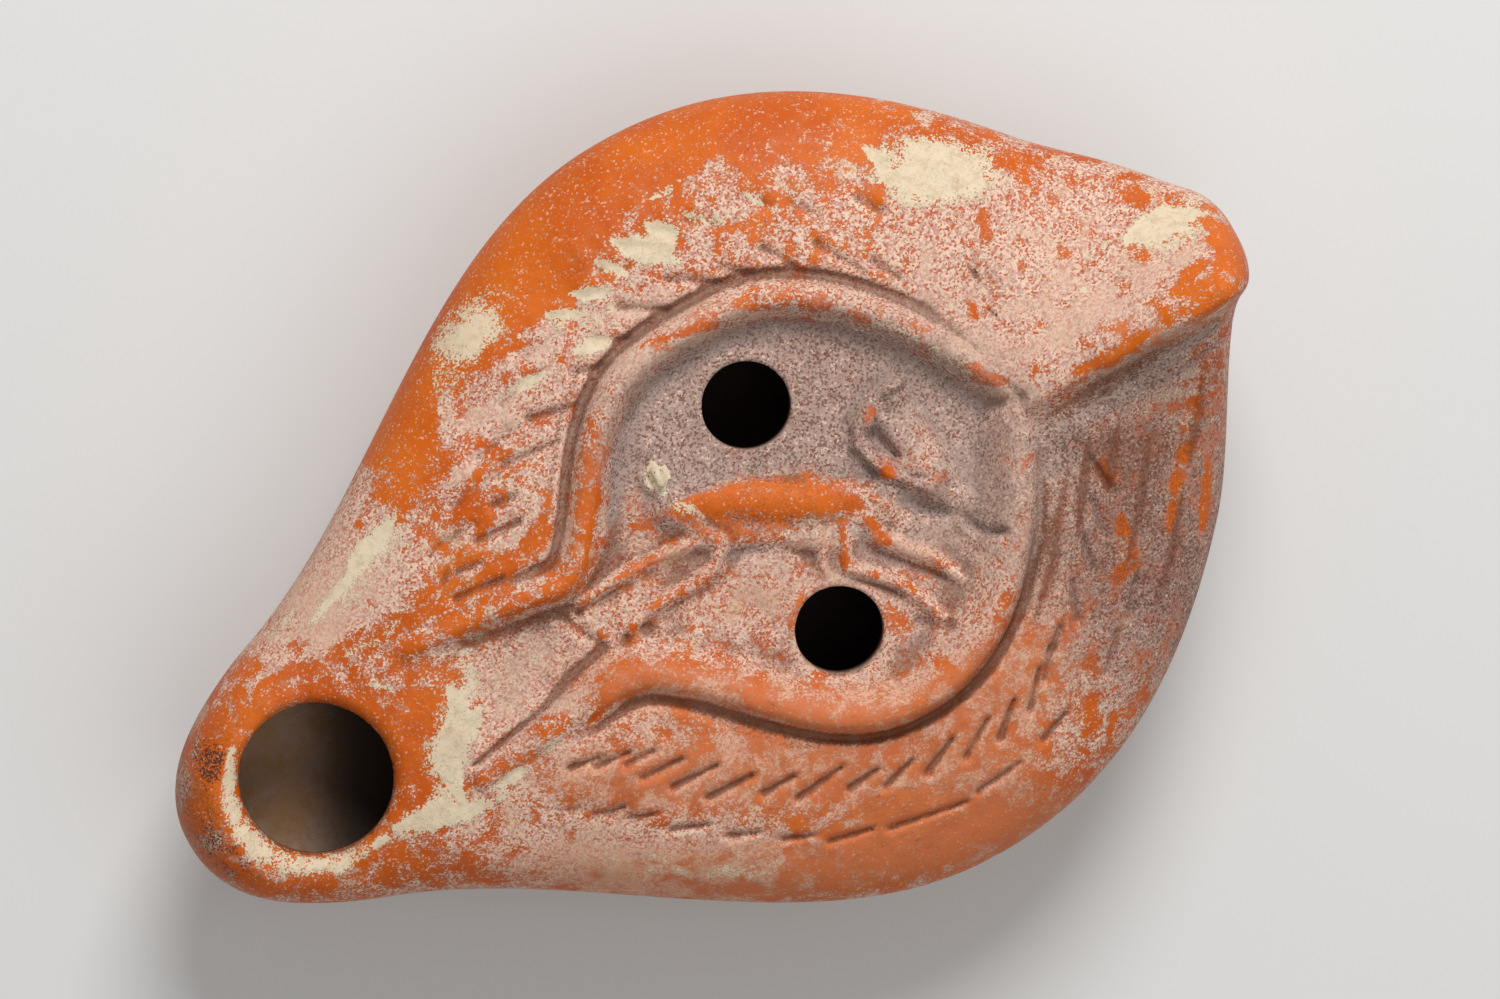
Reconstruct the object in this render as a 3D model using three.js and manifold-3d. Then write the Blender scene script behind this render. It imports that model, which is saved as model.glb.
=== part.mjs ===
// Mould-made terracotta oil lamp: a pear-shaped hollow body on a low foot, with a
// wick nozzle, a sunken picture field with two filling holes, and a keel handle.
// Millimetres, +Z up, +X towards the nozzle. The origin is on the table under the
// middle of the lamp's length. The lamp is one piece of fired clay, so it is one solid.

import * as THREE from "three";
import { mergeVertices } from "three/addons/utils/BufferGeometryUtils.js";
import Module from "manifold-3d";

// Body seen from above
const NOZZLE_END = 61.2; // from the origin to the tip of the nozzle
const HANDLE_END = 61.2; // from the origin to the back of the handle
const BODY_CENTRE_X = -9.5; // the widest section
const BODY_HALF_WIDTH = 41.7;
const BODY_REAR_REACH = 44.0; // from the widest section to the rear of the bowl
const REAR_FULLNESS = 2.2; // how long the bowl stays wide before it draws in to the handle
const NOZZLE_HALF_WIDTH = 12.4;
const NOZZLE_ROUND = 15.0; // how far from its tip the nozzle starts to round off

// Heights above the table
const SHOULDER_TOP = 29.4; // crown of the shoulders, if the field weren't sunk in it
const NOZZLE_TOP = 27.1;
const WIDEST_HEIGHT = 17.5; // where the side stands upright
const BODY_UNDERSIDE = 1.6; // bottom of the bowl, just above the foot's face
const NOZZLE_UNDERSIDE = 9.5;
const TAIL_UNDERSIDE = 15.0; // under the back of the handle
const NOSE_ROUND = 9.0; // rounding under the nozzle and under the handle
const WALL = 3.0;

// Foot
const FOOT_CENTRE_X = -9.5;
const FOOT_RADIUS = 18.0;
const FOOT_RING_WIDTH = 2.6;
const FOOT_RECESS = 0.9;
const FOOT_FLARE = 1.6;

// Handle: an upright fin, drawn out of the shoulders
const HANDLE_PEAK = 37.5; // height of its crest
const HANDLE_CREST_HALF_WIDTH = 2.2; // on its steep side, +Y
const HANDLE_STEEP_SHARE = 0.45; // part of its height that falls away at once there
const HANDLE_STEEP_SPREAD = 7.0; // and how wide the slope below is
const HANDLE_BROAD_SPREAD = 6.0; // how wide the slope on the other side is
const HANDLE_TIP_HALF_WIDTH = 5.0; // its flanks at the tip, seen from above
const HANDLE_TIP_SKEW = 3.6; // how far its tail stands out of line, to -Y
const HANDLE_TAIL_HEIGHT = 22.0; // height of its rearmost point
const HANDLE_TIP_ROUND = 5.0;
const HANDLE_FRONT_X = -30.5; // where the crest rises out of the ridge
const KEEL_HALF_WIDTH = 2.4; // rib under the handle, down to the foot
const KEEL_DEPTH = 1.6;

// Sunken picture field, its ridge and the channel to the nozzle
const FIELD_CENTRE_X = -10.5;
const FIELD_FLOOR = 26.7;
const RIDGE_RADIUS = 21.9; // to the ridge's crest
const RIDGE_HALF_WIDTH = 2.1;
const RIDGE_CREST = 30.3;
const RIDGE_DEPTH = 2.4; // from the crest to the middle of its section
const RIDGE_REAR_REACH = 23.6; // the loop comes to a blunt point under the handle
const RIDGE_REAR_FULLNESS = 2.25;
const LOOP_SIDES = [
  { side: -1, length: 26.0, lateness: 1.9 }, // stays wide, then turns into the channel
  { side: 1, length: 26.5, lateness: 1.15 }, // runs into it in a long curve
];
const CHANNEL_HALF_WIDTH = 3.3; // at the field, between the ridges' feet
const CHANNEL_SPREAD = 0.11; // how fast it widens towards the nozzle
const CHANNEL_END_X = 35.5;
const GROOVE_GAP = 2.3; // from the ridge's crest to the groove outside it
const GROOVE_HALF_WIDTH = 0.8;
const GROOVE_DEPTH = 1.0;

// Holes
const WICK_HOLE_X = 47.0;
const WICK_HOLE_DIAMETER = 17.2;
const FILLING_HOLE_DIAMETER = 9.0;
const FILLING_HOLE_X = -8.3;
const FILLING_HOLE_Y = 12.2;
const FILLING_HOLE_SKEW = 1.4; // one sits a little nearer to the nozzle
const FILLING_LIP = 0.35;
const FILLING_LIP_WIDTH = 1.1;

// Palm-branch strokes pressed in the shoulders, one side at a time
const STROKE_LENGTH = 4.6;
const STROKE_WIDTH = 0.95;
const STROKE_DEPTH = 0.55;
const STROKE_STEP = THREE.MathUtils.degToRad(7.9);
const STROKE_SLANT = THREE.MathUtils.degToRad(36);
const OUTER_STROKE_LENGTH = 3.4;
const OUTER_STROKE_SLANT = THREE.MathUtils.degToRad(-14);
const BRANCHES = [
  { side: -1, innerRadius: 27.3, outerRadius: 31.2 },
  { side: 1, innerRadius: 29.1, outerRadius: 33.9 },
];
const BRANCH_START = THREE.MathUtils.degToRad(31);
const BRANCH_END = THREE.MathUtils.degToRad(153);

// Running animal in low relief on the field: each part follows its joints
const FIGURE_PARTS = [
  { joints: [[2.2, -6.4], [-4.6, -3.7]], halfWidth: 2.5, rise: 1.3 }, // rump
  { joints: [[-2.4, -4.7], [-14.6, 1.4]], halfWidth: 3.1, rise: 1.5 }, // trunk
  { joints: [[-13.2, 1.2], [-21.0, 3.3]], halfWidth: 3.4, rise: 1.3 }, // neck
  { joints: [[-20.2, -1.8], [-26.0, 5.1]], halfWidth: 4.4, rise: 1.7 }, // head and mane
  { joints: [[-19.4, -1.6], [-21.8, -6.2]], halfWidth: 2.4, rise: 1.3 }, // muzzle
  { joints: [[1.4, -5.5], [-0.6, -0.6]], halfWidth: 1.9, rise: 1.3 }, // thigh
  { joints: [[1.0, -4.5], [8.6, -3.4], [14.6, -3.5]], halfWidth: 1.0, rise: 1.0 }, // hind leg
  { joints: [[-0.4, -0.6], [6.6, -1.0], [11.6, 1.6]], halfWidth: 1.1, rise: 1.0 }, // hind leg
  { joints: [[-12.2, 2.5], [-10.7, 7.2], [-14.6, 12.1], [-17.2, 16.2]], halfWidth: 1.0, rise: 1.0 },
  { joints: [[-14.2, 3.5], [-15.2, 7.4], [-19.6, 10.9], [-22.6, 14.2]], halfWidth: 1.1, rise: 1.1 },
];

// How finely the curved faces are divided
const BODY_SIDES = 44;
const BODY_STEPS = 36;
const CAVITY_SIDES = 24;
const CAVITY_STEPS = 18;
const LOOP_STEPS = 31;

const wasm = await Module();
wasm.setup();

/** Turn a closed three.js geometry into a solid that can be joined and cut. */
function toSolid(geometry) {
  const plain = geometry.index ? geometry : mergeVertices(geometry);
  plain.deleteAttribute("normal");
  plain.deleteAttribute("uv");
  const merged = mergeVertices(plain, 1e-4);
  return new wasm.Manifold(
    new wasm.Mesh({
      numProp: 3,
      vertProperties: new Float32Array(merged.attributes.position.array),
      triVerts: new Uint32Array(merged.index.array),
    }),
  );
}

/** Turn a solid back into a three.js geometry. */
function toGeometry(solid) {
  const mesh = solid.getMesh();
  const geometry = new THREE.BufferGeometry();
  geometry.setAttribute("position", new THREE.BufferAttribute(mesh.vertProperties, 3));
  geometry.setIndex(new THREE.BufferAttribute(mesh.triVerts, 1));
  geometry.computeVertexNormals();
  return geometry;
}

/** A superellipse's height, from 1 over its middle to 0 at its edge. */
function dome(share, power) {
  return Math.pow(Math.max(0, 1 - Math.pow(Math.min(1, Math.abs(share)), power)), 1 / power);
}

/** Smooth step: 0 up to one value and 1 past the other, whichever way they lie. */
function ease(from, to, value) {
  const share = THREE.MathUtils.clamp((value - from) / (to - from), 0, 1);
  return share * share * (3 - 2 * share);
}

/** The larger of two lengths, with a fillet where they meet. */
function blend(a, b, power) {
  return Math.pow(Math.pow(a, power) + Math.pow(b, power), 1 / power);
}

/** Half the lamp's width at x: drawn in to the handle behind, tapered to the nozzle. */
function halfWidth(x) {
  if (x < BODY_CENTRE_X) {
    const share = (BODY_CENTRE_X - x) / (BODY_CENTRE_X + HANDLE_END);
    const drawnIn = BODY_HALF_WIDTH * (1 - Math.pow(share, REAR_FULLNESS));
    const tipLength = HANDLE_TIP_HALF_WIDTH / 2;
    const tipRound = dome(Math.max(0, tipLength - HANDLE_END - x) / tipLength, 2);
    return tipRound * blend(drawnIn, HANDLE_TIP_HALF_WIDTH, 3);
  }
  const taperLength = NOZZLE_END - BODY_CENTRE_X - NOZZLE_HALF_WIDTH / 4;
  const along = Math.min(1, (x - BODY_CENTRE_X) / taperLength);
  const taper = 0.5 * (1 + Math.cos(Math.PI * along));
  const width = NOZZLE_HALF_WIDTH + (BODY_HALF_WIDTH - NOZZLE_HALF_WIDTH) * taper;
  const roundStart = NOZZLE_END - NOZZLE_ROUND;
  return width * dome(Math.max(0, x - roundStart) / NOZZLE_ROUND, 2);
}

/** How far the section at x stands out of line: only the handle's tail does. */
function skew(x) {
  return -HANDLE_TIP_SKEW * ease(BODY_CENTRE_X - BODY_REAR_REACH + 7.5, 3.2 - HANDLE_END, x);
}

/** Height of the line where the side stands upright. */
function middleHeight(x) {
  const tail = 1 - ease(-HANDLE_END, BODY_CENTRE_X - BODY_REAR_REACH + 8, x);
  return WIDEST_HEIGHT + (HANDLE_TAIL_HEIGHT - WIDEST_HEIGHT) * tail;
}

/** Height of the shoulders' crown along the middle, without the handle. */
function crownHeight(x) {
  const middle = middleHeight(x);
  if (x < BODY_CENTRE_X) {
    const share = (x - BODY_CENTRE_X) / (BODY_REAR_REACH + 3);
    return middle + (SHOULDER_TOP - middle) * dome(share, 2.6);
  }
  const nozzle = ease(14, 44, x);
  const top = THREE.MathUtils.lerp(SHOULDER_TOP, NOZZLE_TOP, nozzle);
  const round = dome(Math.max(0, x - (NOZZLE_END - 6)) / 6, 2);
  return middle + (top - middle) * round;
}

/** How far the handle's crest stands above the shoulders at x. */
function handleRise(x) {
  if (x > HANDLE_FRONT_X) {
    return 0;
  }
  const along = (HANDLE_FRONT_X - x) / (HANDLE_END - HANDLE_TIP_ROUND + HANDLE_FRONT_X);
  const start = SHOULDER_TOP + 0.4;
  const crest = start + (HANDLE_PEAK - start) * Math.pow(Math.min(1, along), 0.9);
  const middle = middleHeight(x);
  const tip = dome(Math.max(0, HANDLE_TIP_ROUND - HANDLE_END - x) / HANDLE_TIP_ROUND, 2);
  return Math.max(0, middle + (crest - middle) * tip - crownHeight(x));
}

/** Share of the handle's height that is left at y: steep on one side, broad on the other. */
function handleFlank(y) {
  if (y <= 0) {
    return 1 / (1 + Math.pow(-y / HANDLE_BROAD_SPREAD, 2.2));
  }
  const crest = HANDLE_STEEP_SHARE / (1 + Math.pow(y / HANDLE_CREST_HALF_WIDTH, 4));
  return crest + (1 - HANDLE_STEEP_SHARE) / (1 + Math.pow(y / HANDLE_STEEP_SPREAD, 2));
}

/** Height of the lamp's top face at (x, y), before the field and holes are cut. */
function topHeight(x, y) {
  const middle = middleHeight(x);
  const width = Math.max(1e-6, halfWidth(x));
  const power = THREE.MathUtils.lerp(2.4, 3.0, ease(14, 44, x));
  const across = (y - skew(x)) / width;
  const shoulder = middle + (crownHeight(x) - middle) * dome(across, power);
  return shoulder + handleRise(x) * handleFlank(y) * dome(across, 4);
}

/** Height of the lamp's underside at (x, y). */
function bottomHeight(x, y) {
  const middle = middleHeight(x);
  const width = Math.max(1e-6, halfWidth(x));
  const footFront = FOOT_CENTRE_X + FOOT_RADIUS / 2;
  const front = ease(footFront, NOZZLE_END - NOSE_ROUND, x);
  const rear = Math.pow(ease(FOOT_CENTRE_X - FOOT_RADIUS / 2, -HANDLE_END, x), 1.5);
  const rise = front * (NOZZLE_UNDERSIDE - BODY_UNDERSIDE) + rear * (TAIL_UNDERSIDE - BODY_UNDERSIDE);
  const frontRound = dome(Math.max(0, x - (NOZZLE_END - NOSE_ROUND)) / NOSE_ROUND, 2);
  const rearRound = dome(Math.max(0, NOSE_ROUND - HANDLE_END - x) / NOSE_ROUND, 2);
  const lowest = middle - (middle - BODY_UNDERSIDE - rise) * frontRound * rearRound;
  return middle - (middle - lowest) * dome((y - skew(x)) / width, 2);
}

/**
 * Reshape a sphere into a body that lies along X.
 * from and to are its ends; each section runs between the two height functions.
 */
function bodyAlongX({ sides, steps, from, to, width, top, bottom }) {
  const geometry = new THREE.SphereGeometry(1, sides, steps);
  const points = geometry.attributes.position;
  for (let i = 0; i < points.count; i += 1) {
    const polar = Math.acos(THREE.MathUtils.clamp(points.getY(i), -1, 1));
    const x = (from + to) / 2 + ((to - from) / 2) * Math.cos(polar);
    const round = Math.hypot(points.getX(i), points.getZ(i));
    const across = round > 1e-6 ? -points.getX(i) / round : 0;
    const up = points.getZ(i) >= -1e-9;
    const crowded = up ? 1 + 0.7 * (1 - ease(HANDLE_FRONT_X - 8, HANDLE_FRONT_X, x)) : 1;
    const y = skew(x) + width(x) * Math.sign(across) * Math.pow(Math.abs(across), crowded);
    points.setXYZ(i, x, y, up ? top(x, y) : bottom(x, y));
  }
  return toSolid(geometry);
}

/** Outer form of the lamp, still solid. */
function outerBody() {
  return bodyAlongX({
    sides: BODY_SIDES,
    steps: BODY_STEPS,
    from: -HANDLE_END,
    to: NOZZLE_END,
    width: halfWidth,
    top: topHeight,
    bottom: bottomHeight,
  });
}

/** Oil reservoir: the outer form less the wall, under the sunken field. */
function reservoir() {
  const from = BODY_CENTRE_X - BODY_REAR_REACH + WALL;
  const to = NOZZLE_END - WALL;
  const noseRadius = NOZZLE_ROUND - WALL;
  const endRound = NOSE_ROUND - WALL;
  const width = (x) => {
    const bowl = (BODY_HALF_WIDTH - WALL) * dome(Math.max(0, BODY_CENTRE_X - x) / (BODY_CENTRE_X - from), 2);
    const wall = Math.max(0, halfWidth(Math.min(x, to - noseRadius)) - WALL);
    return Math.min(bowl, wall) * dome(Math.max(0, x - to + noseRadius) / noseRadius, 2);
  };
  const ends = (x) => dome(Math.max(0, x - to + endRound) / endRound, 2)
    * dome(Math.max(0, from + 2 * endRound - x) / (2 * endRound), 2);
  const height = (x, y, limit, power) => {
    const share = y / Math.max(1e-6, width(x));
    return WIDEST_HEIGHT + (limit - WIDEST_HEIGHT) * ends(x) * dome(share, power);
  };
  const ceiling = (x) => Math.min(FIELD_FLOOR, crownHeight(x)) - WALL;
  const floor = (x) => bottomHeight(Math.min(x, to - endRound), 0) + WALL;
  return bodyAlongX({
    sides: CAVITY_SIDES,
    steps: CAVITY_STEPS,
    from,
    to,
    width,
    top: (x, y) => height(x, y, ceiling(x), 3),
    bottom: (x, y) => height(x, y, floor(x), 2),
  });
}

/** Foot: a low disc with a ring round a slightly recessed underside. */
function foot() {
  const top = BODY_UNDERSIDE + WALL * 1.2;
  const inner = FOOT_RADIUS - FOOT_RING_WIDTH;
  const profile = [
    [0, FOOT_RECESS],
    [inner - 0.4, FOOT_RECESS],
    [inner, 0],
    [FOOT_RADIUS, 0],
    [FOOT_RADIUS + FOOT_FLARE, top],
    [0, top],
  ];
  const points = profile.map(([radius, height]) => new THREE.Vector2(radius, height));
  const disc = new THREE.LatheGeometry(points, 44).rotateX(Math.PI / 2);
  return toSolid(disc.translate(FOOT_CENTRE_X, 0, 0));
}

/** A bar of elliptical or diamond section along a line that doesn't twist. */
function bar({ line, halfWide, halfHigh, sides }) {
  const section = new THREE.Shape();
  for (let i = 0; i < sides; i += 1) {
    const turn = (2 * Math.PI * i) / sides;
    const point = [halfHigh * Math.cos(turn), halfWide * Math.sin(turn)];
    if (i === 0) {
      section.moveTo(...point);
    } else {
      section.lineTo(...point);
    }
  }
  section.closePath();
  const extrudePath = new THREE.CatmullRomCurve3(line);
  return toSolid(new THREE.ExtrudeGeometry(section, { steps: line.length - 1, extrudePath }));
}

/** Rib that runs from the back of the handle down to the foot. */
function keel() {
  const line = [];
  const front = FOOT_CENTRE_X - FOOT_RADIUS + FOOT_RING_WIDTH;
  const back = NOSE_ROUND / 2 - HANDLE_END;
  for (let i = 0; i <= 12; i += 1) {
    const x = THREE.MathUtils.lerp(front, back, i / 12);
    const sink = KEEL_DEPTH * (0.25 + 1.5 * ease(back + NOSE_ROUND, back, x));
    line.push(new THREE.Vector3(x, skew(x), bottomHeight(x, skew(x)) + sink));
  }
  // The line bends in an upright plane, so the bar's section lies on its side.
  return bar({ line, halfWide: KEEL_DEPTH, halfHigh: KEEL_HALF_WIDTH, sides: 8 });
}

/** Distance of one side of the pear-shaped loop from the middle at x, for a line at some radius. */
function loopHalfWidth(x, radius, neck, { length, lateness }) {
  if (x < FIELD_CENTRE_X) {
    const reach = RIDGE_REAR_REACH + radius - RIDGE_RADIUS;
    const behind = (FIELD_CENTRE_X - x) / reach;
    return radius * Math.max(0, 1 - Math.pow(behind, RIDGE_REAR_FULLNESS));
  }
  const along = Math.min(1, (x - FIELD_CENTRE_X) / (length + radius - RIDGE_RADIUS));
  const taper = 0.5 * (1 + Math.cos(Math.PI * Math.pow(along, lateness)));
  const spread = CHANNEL_SPREAD * Math.max(0, x - FIELD_CENTRE_X - RIDGE_RADIUS);
  return neck + (radius - neck) * taper + spread;
}

/** One side of the loop, from the handle to the nozzle, as evenly spaced points. */
function loopLine({ radius, neck, from, to, steps, form }) {
  const dense = new THREE.Path();
  const samples = 240;
  for (let i = 0; i <= samples; i += 1) {
    const x = THREE.MathUtils.lerp(from, to, i / samples);
    const y = form.side * loopHalfWidth(x, radius, neck, form);
    if (i === 0) {
      dense.moveTo(x, y);
    } else {
      dense.lineTo(x, y);
    }
  }
  return dense.getSpacedPoints(steps);
}

const RIDGE_NECK = CHANNEL_HALF_WIDTH + RIDGE_HALF_WIDTH;
const FIELD_RADIUS = RIDGE_RADIUS - RIDGE_HALF_WIDTH;

/** Height of the ridge's crest, which sinks into the nozzle's top at its front end. */
function ridgeCrest(x) {
  const sink = ease(FIELD_CENTRE_X + RIDGE_RADIUS, CHANNEL_END_X, x);
  return THREE.MathUtils.lerp(RIDGE_CREST, NOZZLE_TOP - 0.2, sink);
}

/** The two sides of the ridge round the field. */
function ridges() {
  return LOOP_SIDES.map((form) => {
    const line = loopLine({
      radius: RIDGE_RADIUS,
      neck: RIDGE_NECK,
      from: FIELD_CENTRE_X - RIDGE_REAR_REACH,
      to: CHANNEL_END_X,
      steps: LOOP_STEPS,
      form,
    });
    return bar({
      line: line.map((p) => new THREE.Vector3(p.x, p.y, ridgeCrest(p.x) - RIDGE_DEPTH)),
      halfWide: RIDGE_HALF_WIDTH,
      halfHigh: RIDGE_DEPTH,
      sides: 8,
    });
  });
}

/** The narrow groove outside each ridge. */
function grooves() {
  const end = FIELD_CENTRE_X + RIDGE_RADIUS + 13;
  const height = (p) => topHeight(p.x, p.y) + GROOVE_DEPTH * ease(end - 6, end, p.x);
  return LOOP_SIDES.map((form) => {
    const line = loopLine({
      radius: RIDGE_RADIUS + GROOVE_GAP,
      neck: RIDGE_NECK + GROOVE_GAP + 1.1,
      from: FIELD_CENTRE_X - RIDGE_REAR_REACH,
      to: end,
      steps: LOOP_STEPS,
      form,
    });
    return bar({
      line: line.map((p) => new THREE.Vector3(p.x, p.y, height(p))),
      halfWide: GROOVE_HALF_WIDTH,
      halfHigh: GROOVE_DEPTH,
      sides: 4,
    });
  });
}

/** What is sunk for the picture field and the channel. */
function sunkenField() {
  const [right, left] = LOOP_SIDES.map((form) => loopLine({
    radius: FIELD_RADIUS,
    neck: CHANNEL_HALF_WIDTH,
    from: FIELD_CENTRE_X - RIDGE_REAR_REACH + RIDGE_HALF_WIDTH,
    to: CHANNEL_END_X,
    steps: LOOP_STEPS,
    form,
  }));
  const outline = new THREE.Shape([...left, ...right.slice(1).reverse()]);
  const block = new THREE.ExtrudeGeometry(outline, { depth: HANDLE_PEAK, bevelEnabled: false });
  return toSolid(block.translate(0, 0, FIELD_FLOOR));
}

/** A flattened ellipsoid from one joint to the next, half sunk in the field. */
function limb(start, end, halfWide, rise) {
  const length = Math.hypot(end[0] - start[0], end[1] - start[1]);
  const geometry = new THREE.SphereGeometry(1, 8, 6);
  geometry.scale(length / 2 + halfWide * 0.75, halfWide, rise);
  geometry.rotateZ(Math.atan2(end[1] - start[1], end[0] - start[0]));
  return toSolid(geometry.translate((start[0] + end[0]) / 2, (start[1] + end[1]) / 2, FIELD_FLOOR));
}

/** The running animal. */
function figure() {
  return FIGURE_PARTS.flatMap(({ joints, halfWidth: wide, rise }) =>
    joints.slice(1).map((joint, i) => limb(joints[i], joint, wide, rise)));
}

/** Where the two filling holes are. */
function fillingHolePlaces() {
  return [-1, 1].map((side) => [FILLING_HOLE_X + side * FILLING_HOLE_SKEW, side * FILLING_HOLE_Y]);
}

/** A low lip round each filling hole. */
function fillingLips() {
  return fillingHolePlaces().map(([x, y]) => {
    const radius = FILLING_HOLE_DIAMETER / 2;
    const lip = new THREE.CylinderGeometry(radius + FILLING_LIP_WIDTH / 2, radius + FILLING_LIP_WIDTH, 1, 20);
    lip.rotateX(Math.PI / 2).translate(x, y, FIELD_FLOOR + FILLING_LIP - 0.5);
    return toSolid(lip);
  });
}

/** An upright round hole from below the ceiling up through the top. */
function uprightHole(x, y, diameter, sides) {
  const low = WIDEST_HEIGHT;
  const height = HANDLE_PEAK - low;
  const hole = new THREE.CylinderGeometry(diameter / 2, diameter / 2, height, sides);
  return toSolid(hole.rotateX(Math.PI / 2).translate(x, y, low + height / 2));
}

/** One pressed stroke on the shoulder, at an angle round the field's centre. */
function stroke({ side, radius, turn, slant, length }) {
  const x = FIELD_CENTRE_X + radius * Math.cos(turn);
  const y = side * radius * Math.sin(turn);
  const geometry = new THREE.OctahedronGeometry(1);
  geometry.scale(length / 2, STROKE_WIDTH / 2, STROKE_DEPTH);
  const reach = 1;
  const slopeX = (topHeight(x + reach, y) - topHeight(x - reach, y)) / (2 * reach);
  const slopeY = (topHeight(x, y + reach) - topHeight(x, y - reach)) / (2 * reach);
  const heading = side * (turn + Math.PI / 2 + slant);
  geometry.rotateZ(heading);
  geometry.rotateX(Math.atan(slopeY));
  geometry.rotateY(-Math.atan(slopeX));
  return toSolid(geometry.translate(x, y, topHeight(x, y)));
}

/** Every stroke of both branches: a long inner row and a short outer row. */
function strokes() {
  const cuts = [];
  BRANCHES.forEach(({ side, innerRadius, outerRadius }) => {
    for (let turn = BRANCH_START; turn < BRANCH_END; turn += STROKE_STEP) {
      cuts.push(stroke({ side, radius: innerRadius, turn, slant: STROKE_SLANT, length: STROKE_LENGTH }));
      const between = turn + STROKE_STEP / 2;
      const slant = OUTER_STROKE_SLANT;
      cuts.push(stroke({ side, radius: outerRadius, turn: between, slant, length: OUTER_STROKE_LENGTH }));
    }
  });
  return cuts;
}

/** The whole lamp as one solid. */
function lampSolid() {
  let solid = outerBody().add(foot()).add(keel()).subtract(sunkenField());
  [...ridges(), ...figure(), ...fillingLips()].forEach((piece) => {
    solid = solid.add(piece);
  });
  [...grooves(), ...strokes()].forEach((piece) => {
    solid = solid.subtract(piece);
  });
  solid = solid.subtract(reservoir());
  solid = solid.subtract(uprightHole(WICK_HOLE_X, 0, WICK_HOLE_DIAMETER, 32));
  fillingHolePlaces().forEach(([x, y]) => {
    solid = solid.subtract(uprightHole(x, y, FILLING_HOLE_DIAMETER, 20));
  });
  return solid;
}

const clay = new THREE.MeshStandardMaterial({ color: 0xc4632c, roughness: 0.8, metalness: 0 });
const lamp = new THREE.Mesh(toGeometry(lampSolid()), clay);
lamp.name = "lamp_body";

const object = new THREE.Group();
object.add(lamp);

export default object;
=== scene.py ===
"""Mould-made clay oil lamp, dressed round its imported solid.

Lengths in the classes are millimetres, +X towards the nozzle, +Y to the left of it seen
from above, +Z up. The meshes are in metres.
"""

import logging
import math
import random
from dataclasses import dataclass
from enum import Enum
from typing import Any, Sequence

import bmesh
import bpy
import numpy as np
from mathutils import Matrix, Vector


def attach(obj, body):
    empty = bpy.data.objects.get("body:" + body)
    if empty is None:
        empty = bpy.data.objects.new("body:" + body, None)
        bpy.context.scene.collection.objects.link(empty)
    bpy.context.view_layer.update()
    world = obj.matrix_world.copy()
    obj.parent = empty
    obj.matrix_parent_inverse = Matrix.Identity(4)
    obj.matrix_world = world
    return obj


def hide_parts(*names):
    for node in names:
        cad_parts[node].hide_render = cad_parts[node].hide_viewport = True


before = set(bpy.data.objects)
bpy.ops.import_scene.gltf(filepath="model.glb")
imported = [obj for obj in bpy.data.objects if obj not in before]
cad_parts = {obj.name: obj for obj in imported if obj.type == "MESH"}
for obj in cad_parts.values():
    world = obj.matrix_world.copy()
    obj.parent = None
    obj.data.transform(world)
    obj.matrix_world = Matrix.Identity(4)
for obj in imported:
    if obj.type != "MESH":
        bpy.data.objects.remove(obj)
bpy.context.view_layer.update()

MM = 0.001
LOG = logging.getLogger("lamp")
Pair = tuple[float, float]
Line = Sequence[Pair]


# Shaping functions

def dome(share: np.ndarray, power: float | np.ndarray) -> np.ndarray:
    """Height of a superellipse: 1 over its middle, 0 at its edge."""
    left = np.maximum(0.0, 1.0 - np.power(np.minimum(1.0, np.abs(share)), power))
    return np.power(left, 1.0 / power)


def ease(start: float, stop: float, value: np.ndarray) -> np.ndarray:
    """Smooth step: 0 up to start and 1 past stop, whichever way they lie."""
    share = np.clip((value - start) / (stop - start), 0.0, 1.0)
    return share * share * (3.0 - 2.0 * share)


def lerp(first: Any, second: Any, share: Any) -> Any:
    """Value between two others."""
    return first + (second - first) * share


def fillet(first: np.ndarray, second: np.ndarray, power: float) -> np.ndarray:
    """The larger of two lengths, with a fillet where they meet."""
    return np.power(np.power(first, power) + np.power(second, power), 1.0 / power)


def soft_max(first: np.ndarray, second: np.ndarray, radius: float) -> np.ndarray:
    """The higher of two heights, blended where they are within a radius of each other."""
    share = np.clip(0.5 + 0.5 * (first - second) / radius, 0.0, 1.0)
    return lerp(second, first, share) + radius * share * (1.0 - share) * 0.5


def distance_to_line(x: np.ndarray, y: np.ndarray, line: Line) -> tuple[np.ndarray, np.ndarray]:
    """Distance of points from a line of joints.

    Args:
        x: The points' x.
        y: The points' y.
        line: The joints, in order.

    Returns:
        The distance, and how far along the line the nearest point is, from 0 to 1.
    """
    joints = np.asarray(line, float)
    runs = np.hypot(*(joints[1:] - joints[:-1]).T)
    starts = np.concatenate(([0.0], np.cumsum(runs)))
    nearest = np.full(x.shape, np.inf)
    along = np.zeros(x.shape)
    for index, run in enumerate(runs):
        (ax, ay), (bx, by) = joints[index], joints[index + 1]
        share = ((x - ax) * (bx - ax) + (y - ay) * (by - ay)) / max(run * run, 1e-9)
        share = np.clip(share, 0.0, 1.0)
        gap = np.hypot(x - lerp(ax, bx, share), y - lerp(ay, by, share))
        closer = gap < nearest
        nearest = np.where(closer, gap, nearest)
        along = np.where(closer, (starts[index] + share * run) / starts[-1], along)
    return nearest, along


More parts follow.
